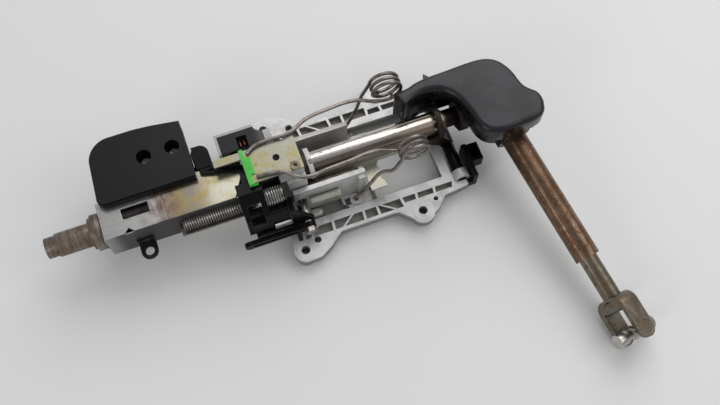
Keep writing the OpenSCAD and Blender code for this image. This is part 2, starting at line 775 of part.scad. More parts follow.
module clamp_nut() {
    color("gray") translate([clamp_x, lever_y - lever_t - pass_gap, clamp_z]) difference() {
        rotate([90, 0, 0]) cylinder(r = 6.5, h = 5, $fn = 6);
        rod_along_y(-8, 1, clamp_r + seat_gap);
    }
}

module release_lever() {
    grip_w = 10;
    color("#202022") translate([clamp_x, lever_y, clamp_z]) difference() {
        union() {
            rod_along_y(-lever_t, 0, 6.5);
            block([-lever_len, -lever_t, -grip_w / 2], [0, 0, grip_w / 2]);
            translate([-lever_len, 0, 0]) rod_along_y(-lever_t, 0, grip_w / 2);
        }
        rod_along_y(-lever_t - 1, 1, clamp_r + run_gap);
        block([-lever_len + 4, -lever_t - 1, -2], [-14, -lever_t + 2, 2]);
    }
}

rack_y = -box_half - seat_gap;
rack_front = rack_y - rack_depth;
rack_z = 0;
rack_end = box_end + 4;
rack_from = rack_end - rack_len;

// Toothed block that locks into the rack
module lock_block() {
    block_from = clamp_from + 4;
    block_end = housing_x - 1 - seat_gap;
    tooth = rack_pitch / 2;
    tooth_count = floor((block_end - block_from - 2) / rack_pitch);
    front = -clamp_reach + clamp_t + 6.2;
    block_h = 6;
    shelf_top = rack_z - 8;
    shelf_front = -clamp_reach + clamp_t + seat_gap;
    color("slategray") {
        block([block_from, front, rack_z], [block_end, rack_front - 2, rack_z + block_h]);
        block([block_from, front, shelf_top - 1], [block_end, front + 3, rack_z + 1]);
        block([block_from, shelf_front, shelf_top - 6], [block_end, front + 4, shelf_top]);
        for (i = [0:tooth_count - 1])
            translate([block_from + 1 + i * rack_pitch, 0, 0])
                block([0, rack_front - 3, rack_z], [tooth, rack_front - pass_gap, rack_z + block_h]);
    }
}

module spring_clip() {
    clip_y = -clamp_reach - seat_gap;
    color("lightsteelblue") difference() {
        block([clamp_from + 26, clip_y - clip_t + seat_gap, -12], [clamp_from + 44, clip_y, -4]);
        translate([clamp_from + 40, 0, -8]) rod_along_y(clip_y - clip_t - 1, clip_y + 1, 2);
    }
}

// Ribbed drum between the clamp and its end wall
module tilt_segment() {
    drum_r = 8;
    drum_len = housing_x - drum_x - seat_gap;
    ring_pitch = 2.8;
    color("gray") translate([drum_x, -30, 20]) {
        rod_along_x(0, drum_len, drum_r);
        for (x = [0.6:ring_pitch:drum_len - 2]) rod_along_x(x, x + ring_pitch / 2, drum_r + 1);
    }
}

module damper_barrel() {
    damper_len = 52;
    damper_r = 5.6;
    ring_at = 20;
    color("lightgray") translate([housing_end + seat_gap, -18, -15.8]) {
        rod_along_x(0, damper_len, damper_r);
        rod_along_x(ring_at, ring_at + 4, damper_r + 0.7);
        rod_along_x(damper_len - eps, damper_len + 4, damper_r - 2);
    }
}

// Folded slide box with its window, seam and notched end
module slide_box() {
    inner = box_half - box_wall;
    cut = inner - 1;
    past = box_half + 1;
    color("gainsboro") difference() {
        block([box_x, -box_half, -box_half], [box_end, box_half, box_half]);
        block([box_x - 1, -inner, -inner], [box_end + 1, inner, inner]);
        translate([box_x + window_at, -window_w / 2 + 1, cut]) cube([window_len, window_w, box_wall + 2]);
        block([box_x + seam_at, -past, box_half - 0.6], [box_x + seam_at + 0.8, past, past]);
        translate([0, 0, cut]) linear_extrude(box_wall + 2) polygon([[box_end - 16, -past], [box_end - 3, 3],
            [box_end + 1, 3], [box_end + 1, -past]]);
        block([box_end - notch_len - 12, box_half - 9, cut], [box_end + 1, past, past]);
        translate([box_x + window_at + 3, -box_half, cut]) rotate([0, 0, 45])
            translate([-4, -4, 0]) cube([8, 8, box_wall + 2]);
    }
}

// Saddles inside the box hold the tube at both ends
module jacket_tube() {
    saddle = box_half - box_wall - seat_gap;
    color("#6b5444") difference() {
        union() {
            rod_along_x(tube_x, tube_end, tube_r);
            for (x = [tube_x, box_end - notch_len - 16])
                block([x, -saddle, -saddle], [x + 8, saddle, saddle]);
        }
        rod_along_x(tube_x - 1, tube_end + 1, tube_bore);
    }
}

module upper_bearing() {
    color("silver") ring_along_x(bearing_x, bearing_x + bearing_len, tube_bore - bush_gap, core_r + run_gap);
}

module sleeve_bush() {
    bush_x = sleeve_end - 14;
    color("whitesmoke") ring_along_x(bush_x, bush_x + 10, tube_bore - bush_gap, sleeve_r + run_gap);
}

module shaft_end_bush() {
    lip = 5;
    color("white") difference() {
        union() {
            rod_along_x(tube_end - 9, tube_end, tube_bore - seat_gap);
            rod_along_x(tube_end, tube_end + lip, tube_r - 1);
        }
        rod_along_x(tube_end - 10, tube_end + lip + 1, lower_r + pass_gap);
        for (a = [20:90:290]) rotate([a, 0, 0])
            block([tube_end + 1, -2.5, 0], [tube_end + lip + 1, 2.5, tube_r + 1]);
    }
}

// Cover and the lock module below it, on the far side of the box
cover_x = box_x + 4;
cover_y = box_half - 8.5;
cover_side = box_half + 0.6;
cover_low = cover_top - cover_depth;
near_round = 8;
far_round = 24;
cover_belly = 5.7;
well_at = [[cover_x + 55, cover_y + 37.5], [cover_x + 84, cover_y + 38.5]];

module cover_outline(inset) {
    far = cover_y + cover_w - inset;
    near = cover_y + inset;
    left = cover_x + inset;
    right = cover_x + cover_len - inset;
    near_r = near_round - inset;
    far_r = far_round - inset;
    bend = [left + far_r + 2.3, far + cover_belly - far_r];
    polygon([[left + near_r, near], [right, near], [right, far], [right - 13, far + 2],
        [right - 28, far + 4.2], [right - 45, far + cover_belly], [bend[0], far + cover_belly],
        bend - [far_r, 0], [left, near + near_r]]);
    translate([left + near_r, near + near_r]) circle(r = near_r);
    translate(bend) circle(r = far_r);
}

module lock_cover() {
    shoulder = 2;
    color("#232427") difference() {
        union() {
            translate([0, 0, cover_low]) linear_extrude(cover_depth - shoulder) cover_outline(0);
            translate([0, 0, cover_top - shoulder - eps]) linear_extrude(shoulder) cover_outline(1);
        }
        difference() {
            translate([0, 0, cover_low - 1])
                linear_extrude(cover_depth - cover_wall + 1) cover_outline(cover_wall);
            for (at = well_at) translate([at[0], at[1], cover_low - 2])
                cylinder(r = well_r + 2, h = cover_depth);
        }
        for (at = well_at) {
            translate([at[0], at[1], cover_low + 8]) cylinder(r = well_r, h = cover_depth);
            translate([at[0], at[1], cover_low - 2]) cylinder(r = 2.6, h = cover_depth);
        }
        for (i = [0:2]) translate([cover_x + cover_len - 1.2, cover_side + 6 + i * 17, cover_low + 4])
            cube([3, 12, cover_depth - 9]);
        block([cover_x - 1, cover_y - 1, cover_low - 1],
            [cover_x + cover_len + 1, cover_side, box_half + 0.6]);
    }
}

module cover_screws() {
    color("dimgray") for (at = well_at) translate([at[0], at[1], cover_low + 8 + seat_gap]) difference() {
        union() {
            cylinder(r = 5, h = 3.2);
            translate([0, 0, -14]) cylinder(r = 2.4, h = 15);
        }
        translate([0, 0, 1.6]) cylinder(r = 2.2, h = 3, $fn = 6);
    }
}

module lock_module() {
    top = cover_low - seat_gap;
    low = -box_half;
    color("#3a3b3e") difference() {
        union() {
            block([cover_x + 6, box_half + seat_gap, low],
                [cover_x + cover_len - 4, cover_y + cover_w - 12, top]);
            translate([cover_x + 42, cover_y + cover_w - 24, low - 4]) cylinder(r = 15, h = 8);
            block([cover_x + cover_len - 5, box_half + seat_gap, low + 6],
                [cover_x + cover_len + 8, box_half + 14, top - 2]);
        }
        for (at = well_at) translate([at[0], at[1], top - 12]) cylinder(r = 2.4 + seat_gap, h = 14);
        for (i = [0:4]) translate([cover_x + 16 + i * 14, cover_y + cover_w - 14, low + 5])
            cube([7, 3, top - low - 10]);
    }
}

module bumper_tab() {
    tab_x = cover_x + cover_len + 2.5;
    low = cover_low - 2 + seat_gap;
    tab_end = 25;
    color("#18181a") {
        block([tab_x - 2, box_half + 1, low - seat_gap], [tab_x + 4, box_half + 13, low + 6]);
        translate([tab_x, box_half + 1, low]) linear_extrude(20) {
            translate([7, tab_end - 9]) circle(r = 9);
            polygon([[0, 0], [16, 0], [16, tab_end - 9], [7, tab_end], [0, tab_end]]);
        }
    }
}

module top_rail() {
    band_x = cover_x + cover_len + 4;
    band_end = box_end + 5;
    far = box_half - 1;
    color("#141416") translate([0, 0, box_half + seat_gap]) difference() {
        linear_extrude(4) polygon([[band_x, far], [band_x, far - 4], [band_x + 6, far - 6],
            [band_end - 10, far - 14], [band_end - 7, far - 18], [band_end, far - 18],
            [band_end, far - 10], [band_x + 16, far]]);
        translate([0, 0, 2]) linear_extrude(3) polygon([[band_x + 6, far - 2.5], [band_x + 10, far - 4.5],
            [band_end - 4, far - 13.5], [band_end - 4, far - 11], [band_x + 16, far - 2.5]]);
    }
}

// Rack with fine teeth across the travel
module telescope_rack() {
    tooth = rack_pitch / 2;
    count = floor(rack_len / rack_pitch);
    color("darkgray") {
        block([rack_from, rack_front + 2, rack_z], [rack_end, rack_y, rack_z + rack_h]);
        for (i = [0:count - 1])
            translate([rack_from + i * rack_pitch, rack_front, rack_z]) cube([tooth, 2 + eps, rack_h]);
    }
}

module rack_rail() {
    color("silver") {
        block([rack_from - 4, rack_front - 2, rack_z - 6], [rack_end - 5, rack_y, rack_z - 3.5]);
        block([rack_from - 4, rack_front + 3, rack_z - 3.5 - eps], [rack_end - 5, rack_y, rack_z - seat_gap]);
    }
}

module side_tab() {
    tab_x = box_x + 35;
    tab_t = 2.5;
    low = -box_half + 4;
    hole_y = -box_half - tab_r - 2;
    color("gray") difference() {
        union() {
            translate([0, 0, low]) linear_extrude(tab_t) {
                translate([tab_x, hole_y]) circle(r = tab_r);
                translate([tab_x - tab_r, hole_y]) square([2 * tab_r, tab_r + 2 - seat_gap]);
            }
            block([tab_x - tab_r, -box_half - tab_t, low], [tab_x + tab_r, -box_half - seat_gap, low + 14]);
        }
        translate([tab_x, hole_y, low - 1]) cylinder(r = tab_hole_r, h = tab_t + 2);
    }
}

// Upper shaft: splined tip, stub, core in the bearing and sleeve for the lower shaft
module upper_shaft() {
    groove = 0.6;
    color("#7a6a5c") difference() {
        union() {
            rod_along_x(0, tip_len + 1, tip_r);
            rod_along_x(tip_len, collar_x, stub_r);
            rod_along_x(collar_x - 1, sleeve_x + 1, core_r);
            rod_along_x(sleeve_x, sleeve_end, sleeve_r);
        }
        rod_along_x(sleeve_floor, sleeve_end + 1, lower_r + run_gap);
        rod_along_x(-1, 8, 5);
        for (i = [0:spline_count - 1]) rotate([(i + 0.5) * 360 / spline_count, 0, 0])
            block([-1, -groove / 2, tip_r - 0.7], [tip_len - 1, groove / 2, tip_r + 1]);
    }
}

module shaft_collar() {
    color("#5f5348") difference() {
        union() {
            rod_along_x(collar_x + 3, collar_x + collar_len, collar_r);
            rod_along_x(collar_x + seat_gap, collar_x + 4, collar_r - 2.5);
        }
        rod_along_x(collar_x - 1, collar_x + collar_len + 1, core_r + seat_gap);
    }
}

// Grooved lower shaft with its fork for the upper joint
module lower_shaft() {
    color("#a79684") difference() {
        union() {
            rod_along_x(lower_x, carrier_x + carrier_len + 3, lower_r);
            rod_along_x(carrier_x + carrier_len + 2, neck_end, lower_r - 2);
        }
        for (i = [0:groove_count - 1]) rotate([(i + 0.5) * 360 / groove_count, 0, 0])
            block([tube_end - 34, -groove_w / 2, lower_r - groove_depth],
                [carrier_x - 3, groove_w / 2, lower_r + 1]);
    }
}

// Fork of the upper joint along local X, with its ears on local Z
module fork(from, bore_r) {
    difference() {
        union() {
            rod_along_x(from, from + 9, cross_half - 1);
            for (side = [0, 1]) mirror([0, 0, side]) {
                block([from, -ear_w / 2, cross_half - ear_t], [0, ear_w / 2, cross_half]);
                translate([0, 0, cross_half - ear_t]) cylinder(r = ear_w / 2, h = ear_t);
            }
        }
        translate([0, 0, -cross_half - 1]) cylinder(r = cup_r + seat_gap, h = 2 * cross_half + 2);
        rod_along_x(from - 1, from + 10, bore_r + seat_gap);
    }
}

module fork_cups(hub_gap) {
    for (side = [0, 1]) mirror([0, 0, side]) {
        translate([0, 0, cross_half - ear_t - 0.5]) cylinder(r = cup_r, h = ear_t + 0.3);
        translate([0, 0, hub_r + hub_gap])
            cylinder(r = cup_r - 1.2, h = cross_half - ear_t - hub_r - hub_gap);
    }
}

module upper_yoke() {
    color("dimgray") translate([joint_x, 0, 0]) fork(neck_end - joint_x - 9 + seat_gap, lower_r - 2);
}

module upper_cups() {
    color("silver") translate([joint_x, 0, 0]) fork_cups(pass_gap);
}

module joint_hub() {
    color("gray") translate([joint_x, 0, 0]) sphere(r = hub_r);
}

module tube_yoke() {
    color("dimgray") in_mid_frame() rotate([90, 0, 180]) fork(-mid_yoke_end, mid_r - 4);
}

module tube_cups() {
    color("silver") in_mid_frame() rotate([90, 0, 0]) fork_cups(pass_gap);
}

module intermediate_tube() {
    tube_from = mid_yoke_end + seat_gap;
    crease = 1.6;
    spigot = 8;
    color("#7d5a44") in_mid_frame() difference() {
        union() {
            rod_along_x(tube_from, mid_end, mid_r);
            rod_along_x(tube_from - spigot, tube_from + 1, mid_r - 4);
        }
        rod_along_x(rod_x - 45, mid_end + 1, rod_r + run_gap);
        for (a = [35, 145, 215, 325]) rotate([a, 0, 0])
            translate([0, 0, mid_r + crease * 0.6]) rod_along_x(tube_from + 18, mid_end + 1, crease);
    }
}

module intermediate_rod() {
    flute = 2;
    color("#8a8473") in_mid_frame() difference() {
        rod_along_x(rod_x, yoke_base, rod_r);
        for (a = [35, 215]) rotate([a, 0, 0])
            translate([0, 0, rod_r + flute * 0.4]) rod_along_x(rod_x + 24, yoke_base + 1, flute);
    }
}

// Lower yoke: a U with two long ears
module lower_yoke() {
    base_t = 9;
    base_x = yoke_base - joint_span;
    bend_r = 12;
    color("#85807a") in_low_frame() difference() {
        intersection() {
            translate([0, low_ear_w / 2, 0]) rotate([90, 0, 0]) linear_extrude(low_ear_w) {
                polygon([[base_x + seat_gap, -low_half + bend_r], [base_x + bend_r, -low_half],
                    [low_ear_w / 2, -low_half], [low_ear_w / 2, low_half], [base_x + bend_r, low_half],
                    [base_x + seat_gap, low_half - bend_r]]);
                for (side = [-1, 1]) translate([base_x + bend_r + seat_gap, side * (low_half - bend_r)])
                    circle(r = bend_r);
            }
            union() {
                translate([0, 0, -low_half - 1]) cylinder(r = low_ear_w / 2, h = 2 * low_half + 2);
                block([base_x, -low_ear_w / 2, -low_half - 1], [0, low_ear_w / 2, low_half + 1]);
            }
        }
        translate([0, 0, -low_half - 1]) cylinder(r = low_cup_r + seat_gap, h = 2 * low_half + 2);
        block([base_x + base_t + 4, -low_ear_w, -low_half + low_ear_t],
            [low_ear_w, low_ear_w, low_half - low_ear_t]);
        translate([base_x + base_t + 4, 0, 0]) rod_along_y(-low_ear_w, low_ear_w, low_half - low_ear_t - 4);
    }
}

// Caps staked into the ears, each with a blind bore for the cross
module ear_caps() {
    cap_from = low_half - low_ear_t;
    color("silver") in_low_frame() for (side = [0, 1]) mirror([0, 0, side]) difference() {
        translate([0, 0, cap_from - 1]) cylinder(r = low_cup_r, h = low_ear_t + 0.4);
        translate([0, 0, cap_from - 2]) cylinder(r = trunnion_r + run_gap, h = low_ear_t);
    }
}

module lower_cross() {
    pin_half = low_half - 2.4;
    color("gray") in_low_frame() {
        translate([0, 0, -pin_half]) cylinder(r = trunnion_r, h = 2 * pin_half);
        rod_along_y(-pin_half, pin_half, trunnion_r);
        sphere(r = trunnion_r + 2.5);
    }
}

// Free cups on the other two trunnions, for the mating yoke
module cross_cups() {
    cup_len = 12;
    cup_end = low_half + 4;
    color("silver") in_low_frame() both_sides() difference() {
        rod_along_y(cup_end - cup_len, cup_end, low_cup_r);
        rod_along_y(cup_end - cup_len - 1, low_half - 2.4 + seat_gap, trunnion_r + seat_gap);
    }
}

mounting_bracket();
pivot_bushes();
far_spring();
near_spring();
connector_holder();
connector_body();
connector_pins();
stop_screw();
harness_clip();
joint_boot();
boot_screw();
pivot_shaft();
swing_arm();
lower_bearing();
guide_housing();
top_plate();
plate_eyelet();
spring_saddle();
clamp_bracket();
clamp_bolt();
clamp_nut();
lock_block();
spring_clip();
tilt_segment();
damper_barrel();
release_lever();
slide_box();
jacket_tube();
upper_bearing();
sleeve_bush();
shaft_end_bush();
lock_module();
lock_cover();
cover_screws();
bumper_tab();
top_rail();
telescope_rack();
rack_rail();
side_tab();
upper_shaft();
shaft_collar();
lower_shaft();
upper_yoke();
upper_cups();
joint_hub();
intermediate_tube();
tube_yoke();
tube_cups();
intermediate_rod();
lower_yoke();
ear_caps();
lower_cross();
cross_cups();
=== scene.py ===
import math

import bpy
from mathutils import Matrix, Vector


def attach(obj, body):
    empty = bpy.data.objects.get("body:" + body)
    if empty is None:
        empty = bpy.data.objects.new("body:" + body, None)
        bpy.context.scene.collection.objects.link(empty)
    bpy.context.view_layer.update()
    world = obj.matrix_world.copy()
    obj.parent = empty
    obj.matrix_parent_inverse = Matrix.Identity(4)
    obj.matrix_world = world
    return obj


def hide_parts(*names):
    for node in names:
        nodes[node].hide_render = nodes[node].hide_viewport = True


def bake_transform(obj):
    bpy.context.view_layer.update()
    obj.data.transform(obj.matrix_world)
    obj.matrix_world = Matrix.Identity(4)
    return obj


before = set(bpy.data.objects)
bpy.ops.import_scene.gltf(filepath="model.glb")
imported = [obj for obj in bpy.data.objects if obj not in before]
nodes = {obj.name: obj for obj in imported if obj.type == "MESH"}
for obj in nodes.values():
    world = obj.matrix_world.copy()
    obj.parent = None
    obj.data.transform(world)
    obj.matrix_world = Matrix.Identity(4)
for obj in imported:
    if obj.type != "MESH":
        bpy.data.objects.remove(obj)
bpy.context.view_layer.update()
scene = bpy.context.scene
bpy.ops.object.select_all(action="DESELECT")
print("frame loaded with", len(nodes), "nodes")


# camera where the photographer stood, looking down on the column
cameraSettings = {
    "place": (0.190256, -0.375182, 0.834465),
    "tiltFromDown": 22.0,
    "turn": -19.9,
    "lens": 45.0,
    "sensor": 36.0,
}
bpy.ops.object.camera_add(location=cameraSettings["place"])
photoCamera = bpy.context.object
photoCamera.name = "photoCamera"
photoCamera.rotation_euler.x = math.radians(cameraSettings["tiltFromDown"])
photoCamera.rotation_euler.z = math.radians(cameraSettings["turn"])
photoCamera.data.sensor_width = cameraSettings["sensor"]
photoCamera.data.lens = cameraSettings["lens"]
scene.camera = photoCamera
print("camera placed")


# node helpers
def addNode(tree, kind, **values):
    node = tree.nodes.new(kind)
    for name, value in values.items():
        setattr(node, name, value)
    return node


def setInputs(node, **values):
    for name, value in values.items():
        node.inputs[name.replace("_", " ")].default_value = value
    return node


def startGroup(name, numbers, outputs):
    tree = bpy.data.node_groups.new(name, "ShaderNodeTree")
    for label, value in numbers.items():
        socket = tree.interface.new_socket(label, in_out="INPUT", socket_type="NodeSocketFloat")
        socket.default_value = value
    for label in outputs:
        tree.interface.new_socket(label, in_out="OUTPUT", socket_type="NodeSocketFloat")
    return tree, addNode(tree, "NodeGroupInput"), addNode(tree, "NodeGroupOutput")


def wire(tree, source, target):
    tree.links.new(source, target)


# mask that rises from 0 at the group's Low to 1 at its High
def maskBetween(tree, give, take, value, rise):
    span = addNode(tree, "ShaderNodeMapRange", interpolation_type=rise)
    wire(tree, value, span.inputs["Value"])
    wire(tree, give.outputs["Low"], span.inputs["From Min"])
    wire(tree, give.outputs["High"], span.inputs["From Max"])
    wire(tree, span.outputs["Result"], take.inputs["Mask"])
    return tree


# soft blotches of stain or rust
def makePatches():
    tree, give, take = startGroup("patches", {"Scale": 40, "Low": 0.45, "High": 0.65, "Shift": 0}, ["Mask"])
    coords = addNode(tree, "ShaderNodeTexCoord")
    moved = addNode(tree, "ShaderNodeVectorMath", operation="ADD")
    noise = setInputs(addNode(tree, "ShaderNodeTexNoise"), Detail=6, Roughness=0.62)
    wire(tree, coords.outputs["Object"], moved.inputs[0])
    wire(tree, give.outputs["Shift"], moved.inputs[1])
    wire(tree, moved.outputs[0], noise.inputs["Vector"])
    wire(tree, give.outputs["Scale"], noise.inputs["Scale"])
    return maskBetween(tree, give, take, noise.outputs["Fac"], "SMOOTHSTEP")


# drawn or brushed lines, stretched by a scale for each axis
def makeStreaks():
    numbers = {"Scale X": 20, "Scale Y": 900, "Scale Z": 900, "Low": 0.4, "High": 0.7}
    tree, give, take = startGroup("streaks", numbers, ["Mask"])
    coords = addNode(tree, "ShaderNodeTexCoord")
    stretch = addNode(tree, "ShaderNodeCombineXYZ")
    sized = addNode(tree, "ShaderNodeVectorMath", operation="MULTIPLY")
    noise = setInputs(addNode(tree, "ShaderNodeTexNoise"), Scale=1, Detail=3)
    for axis in "XYZ":
        wire(tree, give.outputs["Scale " + axis], stretch.inputs[axis])
    wire(tree, coords.outputs["Object"], sized.inputs[0])
    wire(tree, stretch.outputs[0], sized.inputs[1])
    wire(tree, sized.outputs[0], noise.inputs["Vector"])
    return maskBetween(tree, give, take, noise.outputs["Fac"], "LINEAR")


# bare metal or pale plastic where edges are rubbed
def makeWornEdges():
    tree, give, take = startGroup("wornEdges", {"Radius": 0.0008, "Break": 180, "Strength": 6}, ["Mask"])
    rounded = addNode(tree, "ShaderNodeBevel", samples=6)
    flat = addNode(tree, "ShaderNodeNewGeometry")
    turned = addNode(tree, "ShaderNodeVectorMath", operation="DOT_PRODUCT")
    away = addNode(tree, "ShaderNodeMath", operation="SUBTRACT")
    away.inputs[0].default_value = 1
    stronger = addNode(tree, "ShaderNodeMath", operation="MULTIPLY")
    coords = addNode(tree, "ShaderNodeTexCoord")
    noise = setInputs(addNode(tree, "ShaderNodeTexNoise"), Detail=4)
    broken = addNode(tree, "ShaderNodeMath", operation="MULTIPLY", use_clamp=True)
    wire(tree, give.outputs["Radius"], rounded.inputs["Radius"])
    wire(tree, rounded.outputs["Normal"], turned.inputs[0])
    wire(tree, flat.outputs["Normal"], turned.inputs[1])
    wire(tree, turned.outputs["Value"], away.inputs[1])
    wire(tree, away.outputs[0], stronger.inputs[0])
    wire(tree, give.outputs["Strength"], stronger.inputs[1])
    wire(tree, coords.outputs["Object"], noise.inputs["Vector"])
    wire(tree, give.outputs["Break"], noise.inputs["Scale"])
    wire(tree, stronger.outputs[0], broken.inputs[0])
    wire(tree, noise.outputs["Fac"], broken.inputs[1])
    wire(tree, broken.outputs[0], take.inputs["Mask"])
    return tree


# fine moulded or cast skin
def makeGrain():
    tree, give, take = startGroup("grain", {"Scale": 1800, "Coarse": 300, "Share": 0.4}, ["Height"])
    coords = addNode(tree, "ShaderNodeTexCoord")
    fine = setInputs(addNode(tree, "ShaderNodeTexNoise"), Detail=2)
    pits = addNode(tree, "ShaderNodeTexVoronoi", feature="SMOOTH_F1")
    both = addNode(tree, "ShaderNodeMix")
    wire(tree, coords.outputs["Object"], fine.inputs["Vector"])
    wire(tree, coords.outputs["Object"], pits.inputs["Vector"])
    wire(tree, give.outputs["Scale"], fine.inputs["Scale"])
    wire(tree, give.outputs["Coarse"], pits.inputs["Scale"])
    wire(tree, give.outputs["Share"], both.inputs["Factor"])
    wire(tree, fine.outputs["Fac"], both.inputs["A"])
    wire(tree, pits.outputs["Distance"], both.inputs["B"])
    wire(tree, both.outputs["Result"], take.inputs["Height"])
    return tree


# a step along one axis, 0 below Low and 1 above High
def makeBand():
    numbers = {"Axis X": 1, "Axis Y": 0, "Axis Z": 0, "Low": 0, "High": 1}
    tree, give, take = startGroup("band", numbers, ["Mask"])
    coords = addNode(tree, "ShaderNodeTexCoord")
    axis = addNode(tree, "ShaderNodeCombineXYZ")
    along = addNode(tree, "ShaderNodeVectorMath", operation="DOT_PRODUCT")
    for letter in "XYZ":
        wire(tree, give.outputs["Axis " + letter], axis.inputs[letter])
    wire(tree, coords.outputs["Object"], along.inputs[0])
    wire(tree, axis.outputs[0], along.inputs[1])
    return maskBetween(tree, give, take, along.outputs["Value"], "SMOOTHSTEP")


waveTurn = 20  # radians that the wave texture turns in one unit


# even bars along X, such as rack teeth
def makeBars():
    numbers = {"Pitch": 0.0024, "Phase": 0, "Low": 0.35, "High": 0.6}
    tree, give, take = startGroup("bars", numbers, ["Mask"])
    coords = addNode(tree, "ShaderNodeTexCoord")
    scale = addNode(tree, "ShaderNodeMath", operation="DIVIDE")
    scale.inputs[0].default_value = 2 * math.pi / waveTurn
    wave = addNode(tree, "ShaderNodeTexWave", wave_type="BANDS", bands_direction="X")
    wire(tree, coords.outputs["Object"], wave.inputs["Vector"])
    wire(tree, give.outputs["Pitch"], scale.inputs[1])
    wire(tree, scale.outputs[0], wave.inputs["Scale"])
    wire(tree, give.outputs["Phase"], wave.inputs["Phase Offset"])
    return maskBetween(tree, give, take, wave.outputs["Fac"], "LINEAR")


# a round spot seen from above, 1 inside and 0 outside
def makeSpot():
    numbers = {"Place X": 0, "Place Y": 0, "Radius": 0.003, "Fade": 0.0004}
    tree, give, take = startGroup("spot", numbers, ["Mask"])
    coords = addNode(tree, "ShaderNodeTexCoord")
    flat = addNode(tree, "ShaderNodeVectorMath", operation="MULTIPLY")
    flat.inputs[1].default_value = (1, 1, 0)
    place = addNode(tree, "ShaderNodeCombineXYZ")
    away = addNode(tree, "ShaderNodeVectorMath", operation="DISTANCE")
    edge = addNode(tree, "ShaderNodeMath", operation="ADD")
    span = addNode(tree, "ShaderNodeMapRange", interpolation_type="SMOOTHSTEP")
    span.inputs["To Min"].default_value = 1
    span.inputs["To Max"].default_value = 0
    wire(tree, coords.outputs["Object"], flat.inputs[0])
    wire(tree, give.outputs["Place X"], place.inputs["X"])
    wire(tree, give.outputs["Place Y"], place.inputs["Y"])
    wire(tree, flat.outputs[0], away.inputs[0])
    wire(tree, place.outputs[0], away.inputs[1])
    wire(tree, give.outputs["Radius"], edge.inputs[0])
    wire(tree, give.outputs["Fade"], edge.inputs[1])
    wire(tree, away.outputs["Value"], span.inputs["Value"])
    wire(tree, give.outputs["Radius"], span.inputs["From Min"])
    wire(tree, edge.outputs[0], span.inputs["From Max"])
    wire(tree, span.outputs["Result"], take.inputs["Mask"])
    return tree


groups = {
    "patches": makePatches(),
    "streaks": makeStreaks(),
    "wornEdges": makeWornEdges(),
    "grain": makeGrain(),
    "band": makeBand(),
    "bars": makeBars(),
    "spot": makeSpot(),
}
print("shader groups ready:", ", ".join(groups))


# a material being built up: colour layers, then roughness and bump
class Finish:
    def __init__(self, name, colour, metal, rough, shine=0.5):
        self.material = bpy.data.materials.new(name)
        self.material.use_nodes = True
        self.tree = self.material.node_tree
        self.shader = self.tree.nodes["Principled BSDF"]
        self.shader.inputs["Base Color"].default_value = (*colour, 1)
        self.shader.inputs["Metallic"].default_value = metal
        self.shader.inputs["Roughness"].default_value = rough
        self.shader.inputs["Specular IOR Level"].default_value = shine
        self.plain = (*colour, 1)
        self.metal = metal
        self.rough = rough
        self.colourOut = None
        self.metalOut = None
        self.roughOut = None

    def mask(self, group, output="Mask", **values):
        node = addNode(self.tree, "ShaderNodeGroup", node_tree=groups[group])
        setInputs(node, **values)
        return node.outputs[output]

    def both(self, first, second):
        node = addNode(self.tree, "ShaderNodeMath", operation="MULTIPLY")
        wire(self.tree, first, node.inputs[0])
        wire(self.tree, second, node.inputs[1])
        return node.outputs[0]

    def share(self, mask, amount):
        node = addNode(self.tree, "ShaderNodeMath", operation="MULTIPLY")
        wire(self.tree, mask, node.inputs[0])
        node.inputs[1].default_value = amount
        return node.outputs[0]

    def inverse(self, mask):
        node = addNode(self.tree, "ShaderNodeMath", operation="SUBTRACT")
        node.inputs[0].default_value = 1
        wire(self.tree, mask, node.inputs[1])
        return node.outputs[0]

    def between(self, low, high):  # 1 between two soft edges along X
        return self.both(self.mask("band", Low=low[0], High=low[1]),
                         self.inverse(self.mask("band", Low=high[0], High=high[1])))

    def layer(self, mask, colour, rough=None, metal=None):
        mix = addNode(self.tree, "ShaderNodeMix", data_type="RGBA")
        wire(self.tree, mask, mix.inputs["Factor"])
        before, after, result = mix.inputs[6], mix.inputs[7], mix.outputs[2]  # the colour sockets
        if self.colourOut is None:
            before.default_value = self.plain
        else:
            wire(self.tree, self.colourOut, before)
        after.default_value = (*colour, 1)
        self.colourOut = result
        wire(self.tree, self.colourOut, self.shader.inputs["Base Color"])
        if rough is not None:
            self.roughOut = self.slide(mask, self.roughOut, self.rough, rough)
            wire(self.tree, self.roughOut, self.shader.inputs["Roughness"])
        if metal is not None:
            self.metalOut = self.slide(mask, self.metalOut, self.metal, metal)
            wire(self.tree, self.metalOut, self.shader.inputs["Metallic"])
        return self

    def slide(self, mask, before, start, end):
        mix = addNode(self.tree, "ShaderNodeMix")
        wire(self.tree, mask, mix.inputs["Factor"])
        if before is None:
            mix.inputs["A"].default_value = start
        else:
            wire(self.tree, before, mix.inputs["A"])
        mix.inputs["B"].default_value = end
        return mix.outputs["Result"]

    def stain(self, colour, scale, low, high, rough=None, shift=0):
        return self.layer(self.mask("patches", Scale=scale, Low=low, High=high, Shift=shift), colour, rough)

    def rubbed(self, colour, radius, rough, strength=6, metal=None):
        return self.layer(self.mask("wornEdges", Radius=radius, Strength=strength), colour, rough, metal)

    def bump(self, height, strength, depth):
        node = addNode(self.tree, "ShaderNodeBump")
        node.inputs["Strength"].default_value = strength
        node.inputs["Distance"].default_value = depth
        wire(self.tree, height, node.inputs["Height"])
        wire(self.tree, node.outputs["Normal"], self.shader.inputs["Normal"])
        return self

    def grained(self, scale, coarse, share, strength, depth):
        skin = self.mask("grain", "Height", Scale=scale, Coarse=coarse, Share=share)
        return self.bump(skin, strength, depth)


